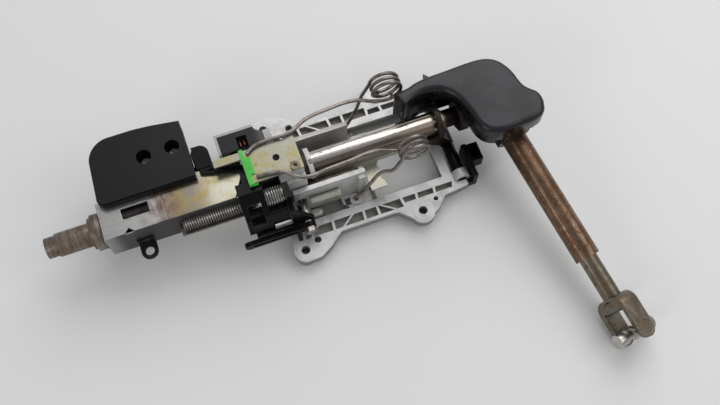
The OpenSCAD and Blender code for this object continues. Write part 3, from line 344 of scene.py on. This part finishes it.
# die-cast bracket: grey skin, painted shade on the pocket floors and the far cheek, rubbed rib tops
def castAlloy():
    look = Finish("castAlloy", (0.6, 0.595, 0.585), 0.5, 0.44)
    look.stain((0.47, 0.465, 0.455), scale=55, low=0.42, high=0.7, rough=0.52)
    # painted shade: pocket floors darker than the rib tops
    shadedFloors = look.inverse(look.mask("band", Axis_X=0, Axis_Z=1, Low=-0.0485, High=-0.0425))
    look.layer(look.share(shadedFloors, 0.8), (0.17, 0.155, 0.14), rough=0.62)
    farSide = look.mask("band", Axis_X=0, Axis_Y=1, Low=0.022, High=0.03)
    shadedCheek = look.both(farSide, look.mask("band", Axis_X=0, Axis_Z=1, Low=-0.042, High=-0.03))
    look.layer(look.share(shadedCheek, 0.6), (0.34, 0.25, 0.2))  # painted brown shade on the far cheek's inner face
    boreShade = look.mask("spot", Place_X=0.239, Place_Y=0.001, Radius=0.0033)
    look.layer(boreShade, (0.01, 0.01, 0.01), rough=0.7)  # painted shade of a bore under the top plate's hole
    look.stain((0.16, 0.15, 0.14), scale=420, low=0.62, high=0.72, shift=3)
    look.rubbed((0.8, 0.8, 0.79), radius=0.0009, rough=0.34, strength=7)
    look.grained(scale=1500, coarse=420, share=0.45, strength=0.25, depth=0.0003)
    return look.material


# slide box sheet: dull zinc with yellow and rosy stains to the right of the seam
def zincSheet():
    look = Finish("zincSheet", (0.42, 0.415, 0.405), 0.9, 0.3)
    drawn = look.mask("streaks", Scale_X=16, Scale_Y=240, Scale_Z=240)
    look.layer(look.share(drawn, 0.5), (0.34, 0.335, 0.325), rough=0.36)
    right = look.mask("band", Low=0.112, High=0.14)
    look.layer(look.share(right, 0.9), (0.21, 0.18, 0.14), rough=0.3)
    pale = look.mask("band", Low=0.15, High=0.178)
    look.layer(pale, (0.46, 0.445, 0.36), rough=0.28)  # painted highlight: paler, creamier zinc by the clamp
    yellow = look.mask("patches", Scale=26, Low=0.4, High=0.6)
    look.layer(look.both(right, yellow), (0.3, 0.23, 0.08), rough=0.28)
    brown = look.between((0.113, 0.116), (0.117, 0.15))
    look.layer(look.share(brown, 0.55), (0.17, 0.13, 0.11))  # just past the seam
    rosy = look.mask("patches", Scale=44, Low=0.4, High=0.62, Shift=5)
    look.layer(look.both(look.between((0.09, 0.11), (0.12, 0.15)), rosy), (0.15, 0.085, 0.07))
    look.stain((0.2, 0.17, 0.15), scale=150, low=0.6, high=0.72, rough=0.5, shift=9)
    look.rubbed((0.62, 0.61, 0.59), radius=0.0006, rough=0.25)
    nearSide = look.inverse(look.mask("band", Axis_X=0, Axis_Y=1, Low=-0.0197, High=-0.0187))
    nearSideShade = look.both(nearSide, look.mask("band", Low=0.056, High=0.076))
    look.layer(look.share(nearSideShade, 0.93), (0.025, 0.025, 0.03), rough=0.5, metal=0.2)  # painted shade on the unlit near side
    look.grained(scale=900, coarse=140, share=0.7, strength=0.08, depth=0.0003)
    return look.material


# toothed rack and segment: painted shade in the gaps between bright teeth
def rackSteel():
    look = Finish("rackSteel", (0.42, 0.4, 0.38), 1.0, 0.3)
    look.stain((0.27, 0.25, 0.23), scale=80, low=0.42, high=0.66, rough=0.4)
    teeth = look.mask("bars", Pitch=0.0024, Phase=0.6)
    # painted shade in the tooth gaps
    look.layer(look.share(look.inverse(teeth), 0.9), (0.045, 0.042, 0.04), rough=0.5)
    look.stain((0.1, 0.075, 0.06), scale=210, low=0.6, high=0.7, rough=0.5, shift=5)
    return look.bump(teeth, 0.3, 0.0006).material


# bare turned steel
def turnedSteel():
    look = Finish("turnedSteel", (0.5, 0.48, 0.45), 1.0, 0.28)
    look.stain((0.36, 0.33, 0.29), scale=70, low=0.42, high=0.68, rough=0.38)
    look.stain((0.17, 0.11, 0.07), scale=240, low=0.6, high=0.7, rough=0.55, shift=2)
    look.rubbed((0.68, 0.67, 0.65), radius=0.0005, rough=0.2)
    return look.bump(look.mask("streaks", Scale_X=900, Scale_Y=900, Scale_Z=60), 0.06, 0.0002).material


# ground shaft with bronze tint, painted shade along its near side and where it runs into the boot
def groundShaft():
    look = Finish("groundShaft", (0.8, 0.78, 0.75), 1.0, 0.24)
    lines = look.mask("streaks", Scale_X=9, Scale_Y=260, Scale_Z=260)
    look.layer(look.share(lines, 0.6), (0.36, 0.28, 0.22), rough=0.3)
    shadedNearSide = look.inverse(look.mask("band", Axis_X=0, Axis_Y=1, Low=-0.007, High=-0.001))
    # painted shade along the shaft's near side
    look.layer(look.share(shadedNearSide, 0.82), (0.11, 0.07, 0.05), rough=0.3)
    bronze = look.mask("band", Low=0.33, High=0.4)
    look.layer(look.share(bronze, 0.35), (0.4, 0.3, 0.18))
    look.stain((0.18, 0.12, 0.08), scale=190, low=0.6, high=0.7, rough=0.45)
    bootShadow = look.mask("band", Low=0.412, High=0.42)
    look.layer(bootShadow, (0.03, 0.024, 0.02), rough=0.45)  # painted shadow of the boot, towards the joint
    return look.bump(look.mask("streaks", Scale_X=30, Scale_Y=1500, Scale_Z=1500), 0.05, 0.0002).material


# wheel end and damper: brown-grey surface rust over turned steel
def rustedEnd():
    look = Finish("rustedEnd", (0.2, 0.165, 0.14), 0.8, 0.46)
    look.stain((0.15, 0.09, 0.06), scale=60, low=0.4, high=0.66, rough=0.6)
    look.layer(look.mask("streaks", Scale_X=420, Scale_Y=18, Scale_Z=18), (0.27, 0.24, 0.21), rough=0.4)
    look.stain((0.09, 0.05, 0.035), scale=330, low=0.58, high=0.7, rough=0.72, shift=4)
    look.rubbed((0.42, 0.39, 0.36), radius=0.0006, rough=0.32)
    look.grained(scale=1300, coarse=500, share=0.5, strength=0.18, depth=0.0003)
    return look.material


# drawn tube gone brown, rubbed at the edges, with pale specks of painted highlight
def brownTube():
    look = Finish("brownTube", (0.125, 0.07, 0.043), 0.8, 0.3)
    look.stain((0.22, 0.14, 0.09), scale=38, low=0.4, high=0.64, rough=0.27)
    look.stain((0.14, 0.058, 0.027), scale=95, low=0.48, high=0.7, rough=0.46, shift=3)
    # pale specks: painted highlight
    look.stain((0.29, 0.21, 0.155), scale=420, low=0.57, high=0.68, rough=0.3, shift=7)
    look.rubbed((0.38, 0.29, 0.22), radius=0.0007, rough=0.3)
    look.grained(scale=1100, coarse=380, share=0.5, strength=0.2, depth=0.0003)
    return look.material


# sliding rod and lower yoke: olive-grey steel with tan rust
def tanSteel():
    look = Finish("tanSteel", (0.185, 0.165, 0.135), 0.9, 0.32)
    look.stain((0.16, 0.12, 0.08), scale=52, low=0.42, high=0.62, rough=0.42)
    look.stain((0.12, 0.07, 0.045), scale=210, low=0.58, high=0.68, rough=0.65, shift=6)
    look.rubbed((0.5, 0.46, 0.41), radius=0.0008, rough=0.28)
    look.grained(scale=1000, coarse=420, share=0.5, strength=0.14, depth=0.0003)
    return look.material


# oiled spring wire
def springWire():
    look = Finish("springWire", (0.28, 0.245, 0.23), 0.95, 0.3)
    look.stain((0.18, 0.145, 0.125), scale=120, low=0.45, high=0.65, rough=0.4)
    look.stain((0.3, 0.25, 0.21), scale=380, low=0.6, high=0.7, rough=0.28, shift=1)
    look.grained(scale=1600, coarse=700, share=0.3, strength=0.1, depth=0.0002)
    return look.material


# black-lacquered pressings with rubbed edges
def blackLacquer():
    look = Finish("blackLacquer", (0.003, 0.003, 0.0034), 0.0, 0.24, shine=0.15)
    look.stain((0.005, 0.005, 0.0055), scale=60, low=0.45, high=0.7, rough=0.32)
    look.stain((0.025, 0.023, 0.021), scale=300, low=0.64, high=0.72, rough=0.45, shift=2)
    look.rubbed((0.07, 0.07, 0.07), radius=0.0007, rough=0.3, strength=8, metal=0.3)
    look.grained(scale=1400, coarse=500, share=0.3, strength=0.06, depth=0.0002)
    return look.material


# near-black steel: painted shade for parts in shadow under the boot, inside the box and clamp windows and on
# the near side, over some old grease
def shadeDarkSteel():
    look = Finish("shadeDarkSteel", (0.03, 0.026, 0.024), 0.7, 0.36)
    look.stain((0.012, 0.01, 0.009), scale=85, low=0.42, high=0.66, rough=0.5)
    look.stain((0.08, 0.06, 0.05), scale=320, low=0.6, high=0.7, rough=0.32, shift=3)
    look.rubbed((0.13, 0.12, 0.11), radius=0.0006, rough=0.28)
    look.grained(scale=1200, coarse=500, share=0.4, strength=0.1, depth=0.0002)
    return look.material


# yellow-passivated zinc plate
def yellowZinc(name, plate, stain, pale):
    look = Finish(name, plate, 0.7, 0.36)
    look.stain(stain, scale=40, low=0.42, high=0.62, rough=0.32)
    look.stain(pale, scale=75, low=0.5, high=0.68, rough=0.42, shift=4)
    look.stain((0.2, 0.16, 0.09), scale=260, low=0.6, high=0.7, rough=0.55, shift=8)
    look.rubbed((0.7, 0.69, 0.65), radius=0.0006, rough=0.28)
    bootShadow = look.mask("band", Low=0.383, High=0.402)
    look.layer(bootShadow, (0.035, 0.026, 0.019), rough=0.5)  # painted shadow of the boot
    look.grained(scale=900, coarse=200, share=0.6, strength=0.08, depth=0.0003)
    return look.material


# moulded plastics
plasticSettings = {
    "coverBlack": {"colour": (0.004, 0.004, 0.0048), "worn": (0.02, 0.02, 0.022), "rough": 0.38,
                   "shine": 0.28, "grainScale": 2600},
    "clipBlack": {"colour": (0.003, 0.003, 0.003), "worn": (0.02, 0.02, 0.02), "rough": 0.34,
                  "shine": 0.14, "grainScale": 2000},
    "holderGrey": {"colour": (0.5, 0.5, 0.49), "worn": (0.62, 0.62, 0.61), "rough": 0.45},
    "blockWhite": {"colour": (0.78, 0.77, 0.73), "worn": (0.85, 0.85, 0.83), "rough": 0.4},
    "saddleGreen": {"colour": (0.05, 0.5, 0.045), "worn": (0.25, 0.7, 0.2), "rough": 0.34},
    "pinRed": {"colour": (0.55, 0.07, 0.03), "worn": (0.7, 0.25, 0.15), "rough": 0.3},
}


def mouldedPlastic(name, colour, worn, rough, shine=0.5, grainScale=1700):
    look = Finish(name, colour, 0.0, rough, shine)
    darker = tuple(0.8 * part for part in colour)
    paler = tuple(min(1, 1.25 * part + 0.002) for part in colour)
    look.stain(darker, scale=34, low=0.4, high=0.7, rough=rough + 0.06)
    look.stain(paler, scale=230, low=0.58, high=0.7, rough=rough + 0.1, shift=5)
    look.rubbed(worn, radius=0.0007, rough=rough - 0.05, strength=5)
    look.grained(scale=grainScale, coarse=700, share=0.35, strength=0.16, depth=0.0002)
    return look.material


# joint boot: glossy black, its flat top painted paler and bluish as a reflection of the sky
def skyTopBoot():
    look = Finish("bootBlack", (0.004, 0.004, 0.005), 0.0, 0.26, shine=0.4)
    look.stain((0.003, 0.003, 0.004), scale=34, low=0.4, high=0.7, rough=0.3)
    top = look.mask("band", Axis_X=0, Axis_Z=1, Low=0.0325, High=0.0358)
    # painted sky reflection on the flat top
    look.layer(look.share(top, 0.4), (0.03, 0.031, 0.038), rough=0.3)
    reflectionMottle = look.mask("patches", Scale=30, Low=0.42, High=0.62, Shift=6)
    # darker mottling in the painted reflection
    look.layer(look.share(look.both(top, reflectionMottle), 0.8), (0.008, 0.008, 0.011), rough=0.42)
    look.stain((0.012, 0.012, 0.014), scale=230, low=0.58, high=0.7, rough=0.34, shift=5)
    look.rubbed((0.025, 0.025, 0.027), radius=0.0007, rough=0.19, strength=5)
    look.grained(scale=1900, coarse=700, share=0.35, strength=0.16, depth=0.0001)
    return look.material


# wiring connector: black front, greyer towards the bracket
def connectorShell():
    look = Finish("connectorShell", (0.004, 0.004, 0.004), 0.0, 0.36, shine=0.3)
    look.layer(look.mask("band", Low=0.226, High=0.238), (0.1, 0.1, 0.094), rough=0.4)
    look.stain((0.02, 0.02, 0.019), scale=90, low=0.5, high=0.7, rough=0.44)
    look.rubbed((0.06, 0.06, 0.058), radius=0.0007, rough=0.32, strength=5)
    look.grained(scale=2000, coarse=700, share=0.35, strength=0.14, depth=0.0002)
    return look.material


finishes = {
    "castAlloy": castAlloy(),
    "zincSheet": zincSheet(),
    "rackSteel": rackSteel(),
    "turnedSteel": turnedSteel(),
    "groundShaft": groundShaft(),
    "rustedEnd": rustedEnd(),
    "brownTube": brownTube(),
    "tanSteel": tanSteel(),
    "springWire": springWire(),
    "blackLacquer": blackLacquer(),
    "shadeDarkSteel": shadeDarkSteel(),
    "wingZinc": yellowZinc("wingZinc", (0.52, 0.515, 0.44), (0.46, 0.435, 0.3), (0.57, 0.57, 0.54)),
    "plateZinc": yellowZinc("plateZinc", (0.31, 0.3, 0.24), (0.3, 0.26, 0.11), (0.36, 0.36, 0.33)),
    "bootBlack": skyTopBoot(),
    "connectorShell": connectorShell(),
}
for name, values in plasticSettings.items():
    finishes[name] = mouldedPlastic(name, **values)
print("finishes ready:", len(finishes))


# which finish each solid wears, and how much its edges are rounded
wears = {
    "castAlloy": ["mounting_bracket", "guide_housing"],
    "zincSheet": ["slide_box"],
    "rackSteel": ["telescope_rack", "tilt_segment"],
    "turnedSteel": ["boot_screw", "clamp_bolt", "clamp_nut", "spring_clip", "upper_bearing",
                    "cover_screws", "lower_cross", "cross_cups"],
    "groundShaft": ["lower_shaft"],
    "rustedEnd": ["upper_shaft", "shaft_collar", "damper_barrel"],
    "shadeDarkSteel": ["jacket_tube", "side_tab", "lock_block", "upper_yoke", "upper_cups", "joint_hub",
                   "tube_yoke", "tube_cups"],
    "springWire": ["rack_rail"],
    "brownTube": ["intermediate_tube"],
    "tanSteel": ["intermediate_rod", "lower_yoke", "ear_caps", "plate_eyelet"],
    "blackLacquer": ["pivot_shaft", "clamp_bracket"],
    "wingZinc": ["swing_arm", "stop_screw"],
    "plateZinc": ["top_plate"],
    "coverBlack": ["lock_cover"],
    "connectorShell": ["connector_body"],
    # lower_bearing wears black as painted shade under the boot
    "clipBlack": ["harness_clip", "release_lever", "lock_module", "bumper_tab", "top_rail", "lower_bearing"],
    "holderGrey": ["pivot_bushes", "connector_holder"],
    "blockWhite": ["sleeve_bush", "shaft_end_bush"],
    "saddleGreen": ["spring_saddle"],
    "pinRed": ["connector_pins"],
}
edgeSettings = {
    "width": 0.0003,
    "wider": {"mounting_bracket": 0.0006, "lock_cover": 0.002, "clamp_bracket": 0.0008, "lower_yoke": 0.0012},
    "segments": 2,
    "leastAngle": 35,
    "mergeWithin": 0.000002,
}


def dress(piece, finish):
    piece.data.materials.clear()
    piece.data.materials.append(finishes[finish])


def softenEdges(piece, width, segments, leastAngle):
    soft = piece.modifiers.new("softEdges", "BEVEL")
    soft.width = width
    soft.segments = segments
    soft.limit_method = "ANGLE"
    soft.angle_limit = math.radians(leastAngle)
    return soft.name


for finish, wearers in wears.items():
    for wearer in wearers:
        solid = nodes[wearer]
        dress(solid, finish)
        weld = solid.modifiers.new("joinTriangles", "WELD")
        weld.merge_threshold = edgeSettings["mergeWithin"]
        width = edgeSettings["wider"].get(wearer, edgeSettings["width"])
        softenEdges(solid, width, edgeSettings["segments"], edgeSettings["leastAngle"])
print("solids dressed")


# smooth closed or open curve through a list of places
def layCurve(curve, places, steps):
    spline = curve.data.splines[0]
    spline.bezier_points.add(len(places) - len(spline.bezier_points))
    for point, place in zip(spline.bezier_points, places):
        point.co = place
        point.handle_left_type = "AUTO"
        point.handle_right_type = "AUTO"
    spline.resolution_u = steps


def addBlock(place, size, turn=(0, 0, 0)):
    bpy.ops.object.select_all(action="DESELECT")
    bpy.ops.mesh.primitive_cube_add(size=1, location=place, rotation=turn)
    block = bpy.context.object
    block.dimensions = size
    bpy.ops.object.transform_apply(location=True, rotation=True, scale=True)
    return block


# helper springs: one smooth wire each, from the saddle round the coil and down to its foot, places in mm
springSettings = {
    "wireRadius": 0.0019,
    "coilRadius": 0.0145,
    "coilPitch": 0.0056,
    "firstAngle": -90,
    "lastAngle": 900,
    "angleStep": 18,
    "curveSteps": 5,
    "roundness": 4,
    "far": {
        "arm": [(213, 13, 38.4), (221, 18, 38.4), (236, 20, 38.4), (255, 20, 38.4), (266, 23.5, 37.9),
                (278, 30, 36.4), (301, 35, 33), (336, 39, 25), (352, 36, 18.5)],
        "coilCentre": (368, 33, 32),
        "side": 1,
        "leg": [(350, 49, 22), (345, 49, 10), (338, 45, -6), (326, 41, -26), (318, 39, -37),
                (318, 39, -48)],
    },
    "near": {
        "arm": [(215, -13, 38.4), (233, -15, 38.4), (244, -19, 38.4), (253, -27, 37.9), (263, -30, 37.4),
                (279, -28, 35.4), (301, -26, 33), (336, -21, 25), (354, -24, 18.5)],
        "coilCentre": (370, -26, 32),
        "side": -1,
        "leg": [(352, -41, 22), (347, -41, 12), (336, -36, 3), (323, -38, -12), (313, -37.5, -30),
                (308, -37, -37), (308, -37, -48)],
    },
}


def springRoute(part):
    route = [Vector(point) / 1000 for point in part["arm"]]
    centre = Vector(part["coilCentre"]) / 1000
    first = springSettings["firstAngle"]
    for angle in range(first, springSettings["lastAngle"] + 1, springSettings["angleStep"]):
        turn = math.radians(angle)
        across = part["side"] * springSettings["coilPitch"] * (angle - first) / 360
        route.append(centre + Vector((springSettings["coilRadius"] * math.cos(turn), across,
                                      springSettings["coilRadius"] * math.sin(turn))))
    return route + [Vector(point) / 1000 for point in part["leg"]]


def bendSpring(name, part):
    bpy.ops.object.select_all(action="DESELECT")
    bpy.ops.curve.primitive_bezier_curve_add(location=(0, 0, 0))
    spring = bpy.context.object
    spring.name = name
    layCurve(spring, springRoute(part), springSettings["curveSteps"])
    spring.data.bevel_depth = springSettings["wireRadius"]
    spring.data.bevel_resolution = springSettings["roundness"]
    spring.data.use_fill_caps = True
    bpy.ops.object.convert(target="MESH")
    spring = bpy.context.object
    bpy.ops.object.shade_smooth()
    dress(spring, "springWire")
    return spring


farWire = bendSpring("farSpringWire", springSettings["far"])
nearWire = bendSpring("nearSpringWire", springSettings["near"])
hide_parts("far_spring")
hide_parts("near_spring")
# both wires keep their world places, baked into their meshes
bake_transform(farWire)
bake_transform(nearWire)
print("spring wires bent")


# joint boot: moulded shell with a soft rim, open at the neck, the shaft and the intermediate tube
bootSettings = {
    "top": 0.036,
    "skirt": -0.012,
    "rim": 0.0058,
    "rimSteps": 6,
    "wall": 0.0024,
    "softEdge": 0.0005,
    "curveSteps": 5,
    "smoothAngle": 40,
    "rodSides": 64,
    "outline": [(366, 4.5), (373, 7.8), (380, 11.6), (386, 15.2), (391, 17.4), (399, 19.3), (408, 19.2),
                (417, 16.8), (424, 11.6), (430, 4), (434.5, -7), (437.5, -19), (439.5, -31), (444, -40),
                (452, -45.6), (463, -47.8), (482, -46.8), (500, -44.8), (507.5, -40.8), (511.4, -33.5),
                (512.6, -24.5), (510.4, -17), (505.5, -12), (501, -6.5), (498.5, 1), (496.5, 11), (492, 22),
                (486, 30), (478, 35), (468, 37.3), (455, 37.6), (430, 36.5), (408, 35.5), (397, 33.8),
                (388, 31), (377.5, 30), (366, 29.6), (358, 26.5), (355, 18.5), (358.5, 8.5)],  # in mm
    "openings": [
        ("box", (0.05, 0.09, 0.09), (0.3532, 0.0131, 0.012), (0, 0, math.radians(19.9))),  # neck mouth
        ("box", (0.078, 0.05, 0.0275), (0.494, -0.045, 0.00075)),  # intermediate tube
        ("box", (0.05, 0.05, 0.021), (0.436, -0.0385, -0.0025)),  # near corner stops short
        ("rod", (0.0214, 0.036), (0.435, 0, 0), (0, math.radians(90), 0)),  # upper joint
        ("box", (0.036, 0.0428, 0.03), (0.435, 0, -0.015)),
        ("rod", (0.02, 0.019), (0.4085, 0, 0), (0, math.radians(90), 0)),  # bearing carrier
        ("box", (0.019, 0.04, 0.03), (0.4085, 0, -0.015)),
        ("rod", (0.0145, 0.036), (0.382, 0, 0), (0, math.radians(90), 0)),  # lower shaft
        ("box", (0.036, 0.029, 0.03), (0.382, 0, -0.015)),
        ("box", (0.008, 0.014, 0.004), (0.393, 0.017, -0.006)),  # clip windows
        ("box", (0.014, 0.007, 0.004), (0.437, -0.0165, 0.019)),
    ],
    "leg": {"place": (0.392, 0.029, -0.024), "size": (0.014, 0.004, 0.036), "footTop": -0.039,
            "reach": 0.021},
    "shelf": {"place": (0.444, 0.0277, -0.01125), "size": (0.052, 0.0172, 0.0015)},  # turned-in lower edge
    "fin": {"place": (0.4115, 0.0375, 0.0255), "radius": 0.0062, "thick": 0.003, "turn": 10},
}


def openBoot(boot, kind, size, place, turn=(0, 0, 0)):
    if kind == "box":
        cutter = addBlock(place, size, turn)
    else:
        radius, length = size
        bpy.ops.object.select_all(action="DESELECT")
        bpy.ops.mesh.primitive_cylinder_add(vertices=bootSettings["rodSides"], radius=radius, depth=length,
                                            location=place, rotation=turn)
        cutter = bpy.context.object
        bpy.ops.object.transform_apply(location=True, rotation=True, scale=True)
    cut = boot.modifiers.new("opening", "BOOLEAN")
    cut.operation = "DIFFERENCE"
    cut.solver = "EXACT"
    cut.object = cutter
    bpy.context.view_layer.objects.active = boot
    bpy.ops.object.modifier_apply(modifier=cut.name)
    bpy.data.objects.remove(cutter)


def mouldBoot():
    shoulder = bootSettings["top"] - bootSettings["rim"]
    outline = [Vector((x / 1000, y / 1000, shoulder)) for x, y in bootSettings["outline"]]
    bpy.ops.object.select_all(action="DESELECT")
    bpy.ops.curve.primitive_bezier_circle_add(location=(0, 0, 0))
    boot = bpy.context.object
    boot.name = "bootShell"
    boot.data.dimensions = "3D"
    layCurve(boot, outline, bootSettings["curveSteps"])
    bpy.ops.object.convert(target="MESH")
    boot = bpy.context.object
    bpy.ops.object.mode_set(mode="EDIT")
    bpy.ops.mesh.select_all(action="SELECT")
    drop = bootSettings["skirt"] - shoulder
    bpy.ops.mesh.extrude_edges_move(TRANSFORM_OT_translate={"value": (0, 0, drop)})
    bpy.ops.mesh.select_all(action="DESELECT")
    bpy.ops.object.mode_set(mode="OBJECT")
    for corner in boot.data.vertices:
        corner.select = abs(corner.co.z - shoulder) < 0.0001  # upper ring
    bpy.ops.object.mode_set(mode="EDIT")
    bpy.ops.mesh.edge_face_add()
    bpy.ops.mesh.select_all(action="SELECT")
    bpy.ops.mesh.normals_make_consistent(inside=False)
    bpy.ops.mesh.select_all(action="DESELECT")
    bpy.ops.object.mode_set(mode="OBJECT")
    for face in boot.data.polygons:
        face.select = face.normal.z > 0.9  # flat top
    bpy.ops.object.mode_set(mode="EDIT")
    steps = bootSettings["rimSteps"]
    for step in range(steps):  # quarter round, one inset for each step
        low = math.radians(90 * step / steps)
        high = math.radians(90 * (step + 1) / steps)
        bpy.ops.mesh.inset(thickness=bootSettings["rim"] * (math.cos(low) - math.cos(high)),
                           depth=bootSettings["rim"] * (math.sin(high) - math.sin(low)))
    bpy.ops.object.mode_set(mode="OBJECT")
    walls = boot.modifiers.new("walls", "SOLIDIFY")
    walls.thickness = bootSettings["wall"]
    walls.offset = -1
    walls.use_even_offset = True
    bpy.ops.object.modifier_apply(modifier=walls.name)
    return boot


def bendLeg():
    leg = bootSettings["leg"]
    strap = addBlock(leg["place"], leg["size"])
    bpy.ops.object.mode_set(mode="EDIT")
    bpy.ops.mesh.select_all(action="SELECT")
    bpy.ops.mesh.bisect(plane_co=(0, 0, leg["footTop"]), plane_no=(0, 0, 1))
    bpy.ops.mesh.select_all(action="DESELECT")
    bpy.ops.object.mode_set(mode="OBJECT")
    for face in strap.data.polygons:
        face.select = face.normal.y > 0.9 and face.center.z < leg["footTop"]  # far side of the foot
    bpy.ops.object.mode_set(mode="EDIT")
    bpy.ops.mesh.extrude_region_move(TRANSFORM_OT_translate={"value": (0, leg["reach"], 0)})
    bpy.ops.object.mode_set(mode="OBJECT")
    return strap


def cutFin():
    fin = bootSettings["fin"]
    bpy.ops.object.select_all(action="DESELECT")
    bpy.ops.mesh.primitive_cylinder_add(vertices=3, radius=fin["radius"], depth=fin["thick"],
                                        location=fin["place"], rotation=(0, 0, math.radians(fin["turn"])))
    return bpy.context.object


bootShell = mouldBoot()
for opening in bootSettings["openings"]:
    openBoot(bootShell, *opening)
bootLeg = bendLeg()
bootShelf = addBlock(**bootSettings["shelf"])
bootFin = cutFin()
bpy.ops.object.select_all(action="DESELECT")
for part in (bootLeg, bootFin, bootShelf, bootShell):
    part.select_set(True)
bpy.context.view_layer.objects.active = bootShell
bpy.ops.object.join()
softRim = softenEdges(bootShell, bootSettings["softEdge"], segments=2, leastAngle=50)
bpy.ops.object.modifier_apply(modifier=softRim)
bpy.ops.object.shade_smooth_by_angle(angle=math.radians(bootSettings["smoothAngle"]))
dress(bootShell, "bootBlack")
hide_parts("joint_boot")
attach(bootShell, "bracket")
print("boot moulded with", len(bootShell.data.polygons), "faces")


# lower yoke: forged web in the crook of the fork
webSettings = {
    "place": (0.51237, -0.23525, -0.03267),
    "turn": (-18, 7.8, -80.5),
    "size": (0.0135, 0.0192, 0.0286),
    "round": 0.0035,
    "roundSteps": 5,
    "smoothAngle": 40,
}
webTurn = [math.radians(angle) for angle in webSettings["turn"]]
yokeWeb = addBlock(webSettings["place"], webSettings["size"], webTurn)
yokeWeb.name = "yokeWeb"
softWeb = softenEdges(yokeWeb, webSettings["round"], webSettings["roundSteps"], leastAngle=30)
bpy.ops.object.modifier_apply(modifier=softWeb)
bpy.ops.object.shade_smooth_by_angle(angle=math.radians(webSettings["smoothAngle"]))
dress(yokeWeb, "tanSteel")
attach(yokeWeb, "end_yoke")
print("yoke web forged")


# pale floor and soft studio light
stageSettings = {
    "floorPlace": (0.3, -0.1, -0.0602),
    "floorSize": 8.0,
    "floorColour": (0.8, 0.8, 0.79, 1),
    "floorRough": 0.7,
    "airColour": (0.86, 0.88, 0.9, 1),
    "airStrength": 0.42,
}
bpy.ops.mesh.primitive_plane_add(size=stageSettings["floorSize"], location=stageSettings["floorPlace"])
floor = bpy.context.object
floor.name = "studioFloor"
floorPaint = bpy.data.materials.new("studioFloor")
floorPaint.use_nodes = True
floorShader = floorPaint.node_tree.nodes["Principled BSDF"]
floorShader.inputs["Base Color"].default_value = stageSettings["floorColour"]
floorShader.inputs["Roughness"].default_value = stageSettings["floorRough"]
floor.data.materials.append(floorPaint)

lamps = [
    {"name": "skyPanel", "place": (1.25, 1.3, 1.9), "aim": (0.28, -0.03, 0), "size": 2.4, "power": 36},
    {"name": "leftPanel", "place": (-1.2, -0.95, 0.95), "aim": (0.3, -0.05, 0), "size": 0.7, "power": 5},
    {"name": "windowPanel", "place": (1.5, -0.6, 1.3), "aim": (0.3, -0.05, 0), "size": 1.0, "power": 5},
]
for lamp in lamps:
    bpy.ops.object.light_add(type="AREA", location=lamp["place"])
    panel = bpy.context.object
    panel.name = lamp["name"]
    panel.data.size = lamp["size"]
    panel.data.energy = lamp["power"]
    towards = Vector(lamp["aim"]) - Vector(lamp["place"])
    panel.rotation_euler = towards.to_track_quat("-Z", "Y").to_euler()

studioAir = bpy.data.worlds.new("studioAir")
scene.world = studioAir
studioAir.use_nodes = True
airNode = studioAir.node_tree.nodes["Background"]
airNode.inputs["Color"].default_value = stageSettings["airColour"]
airNode.inputs["Strength"].default_value = stageSettings["airStrength"]
scene.view_settings.view_transform = "Standard"
print("stage and light ready")
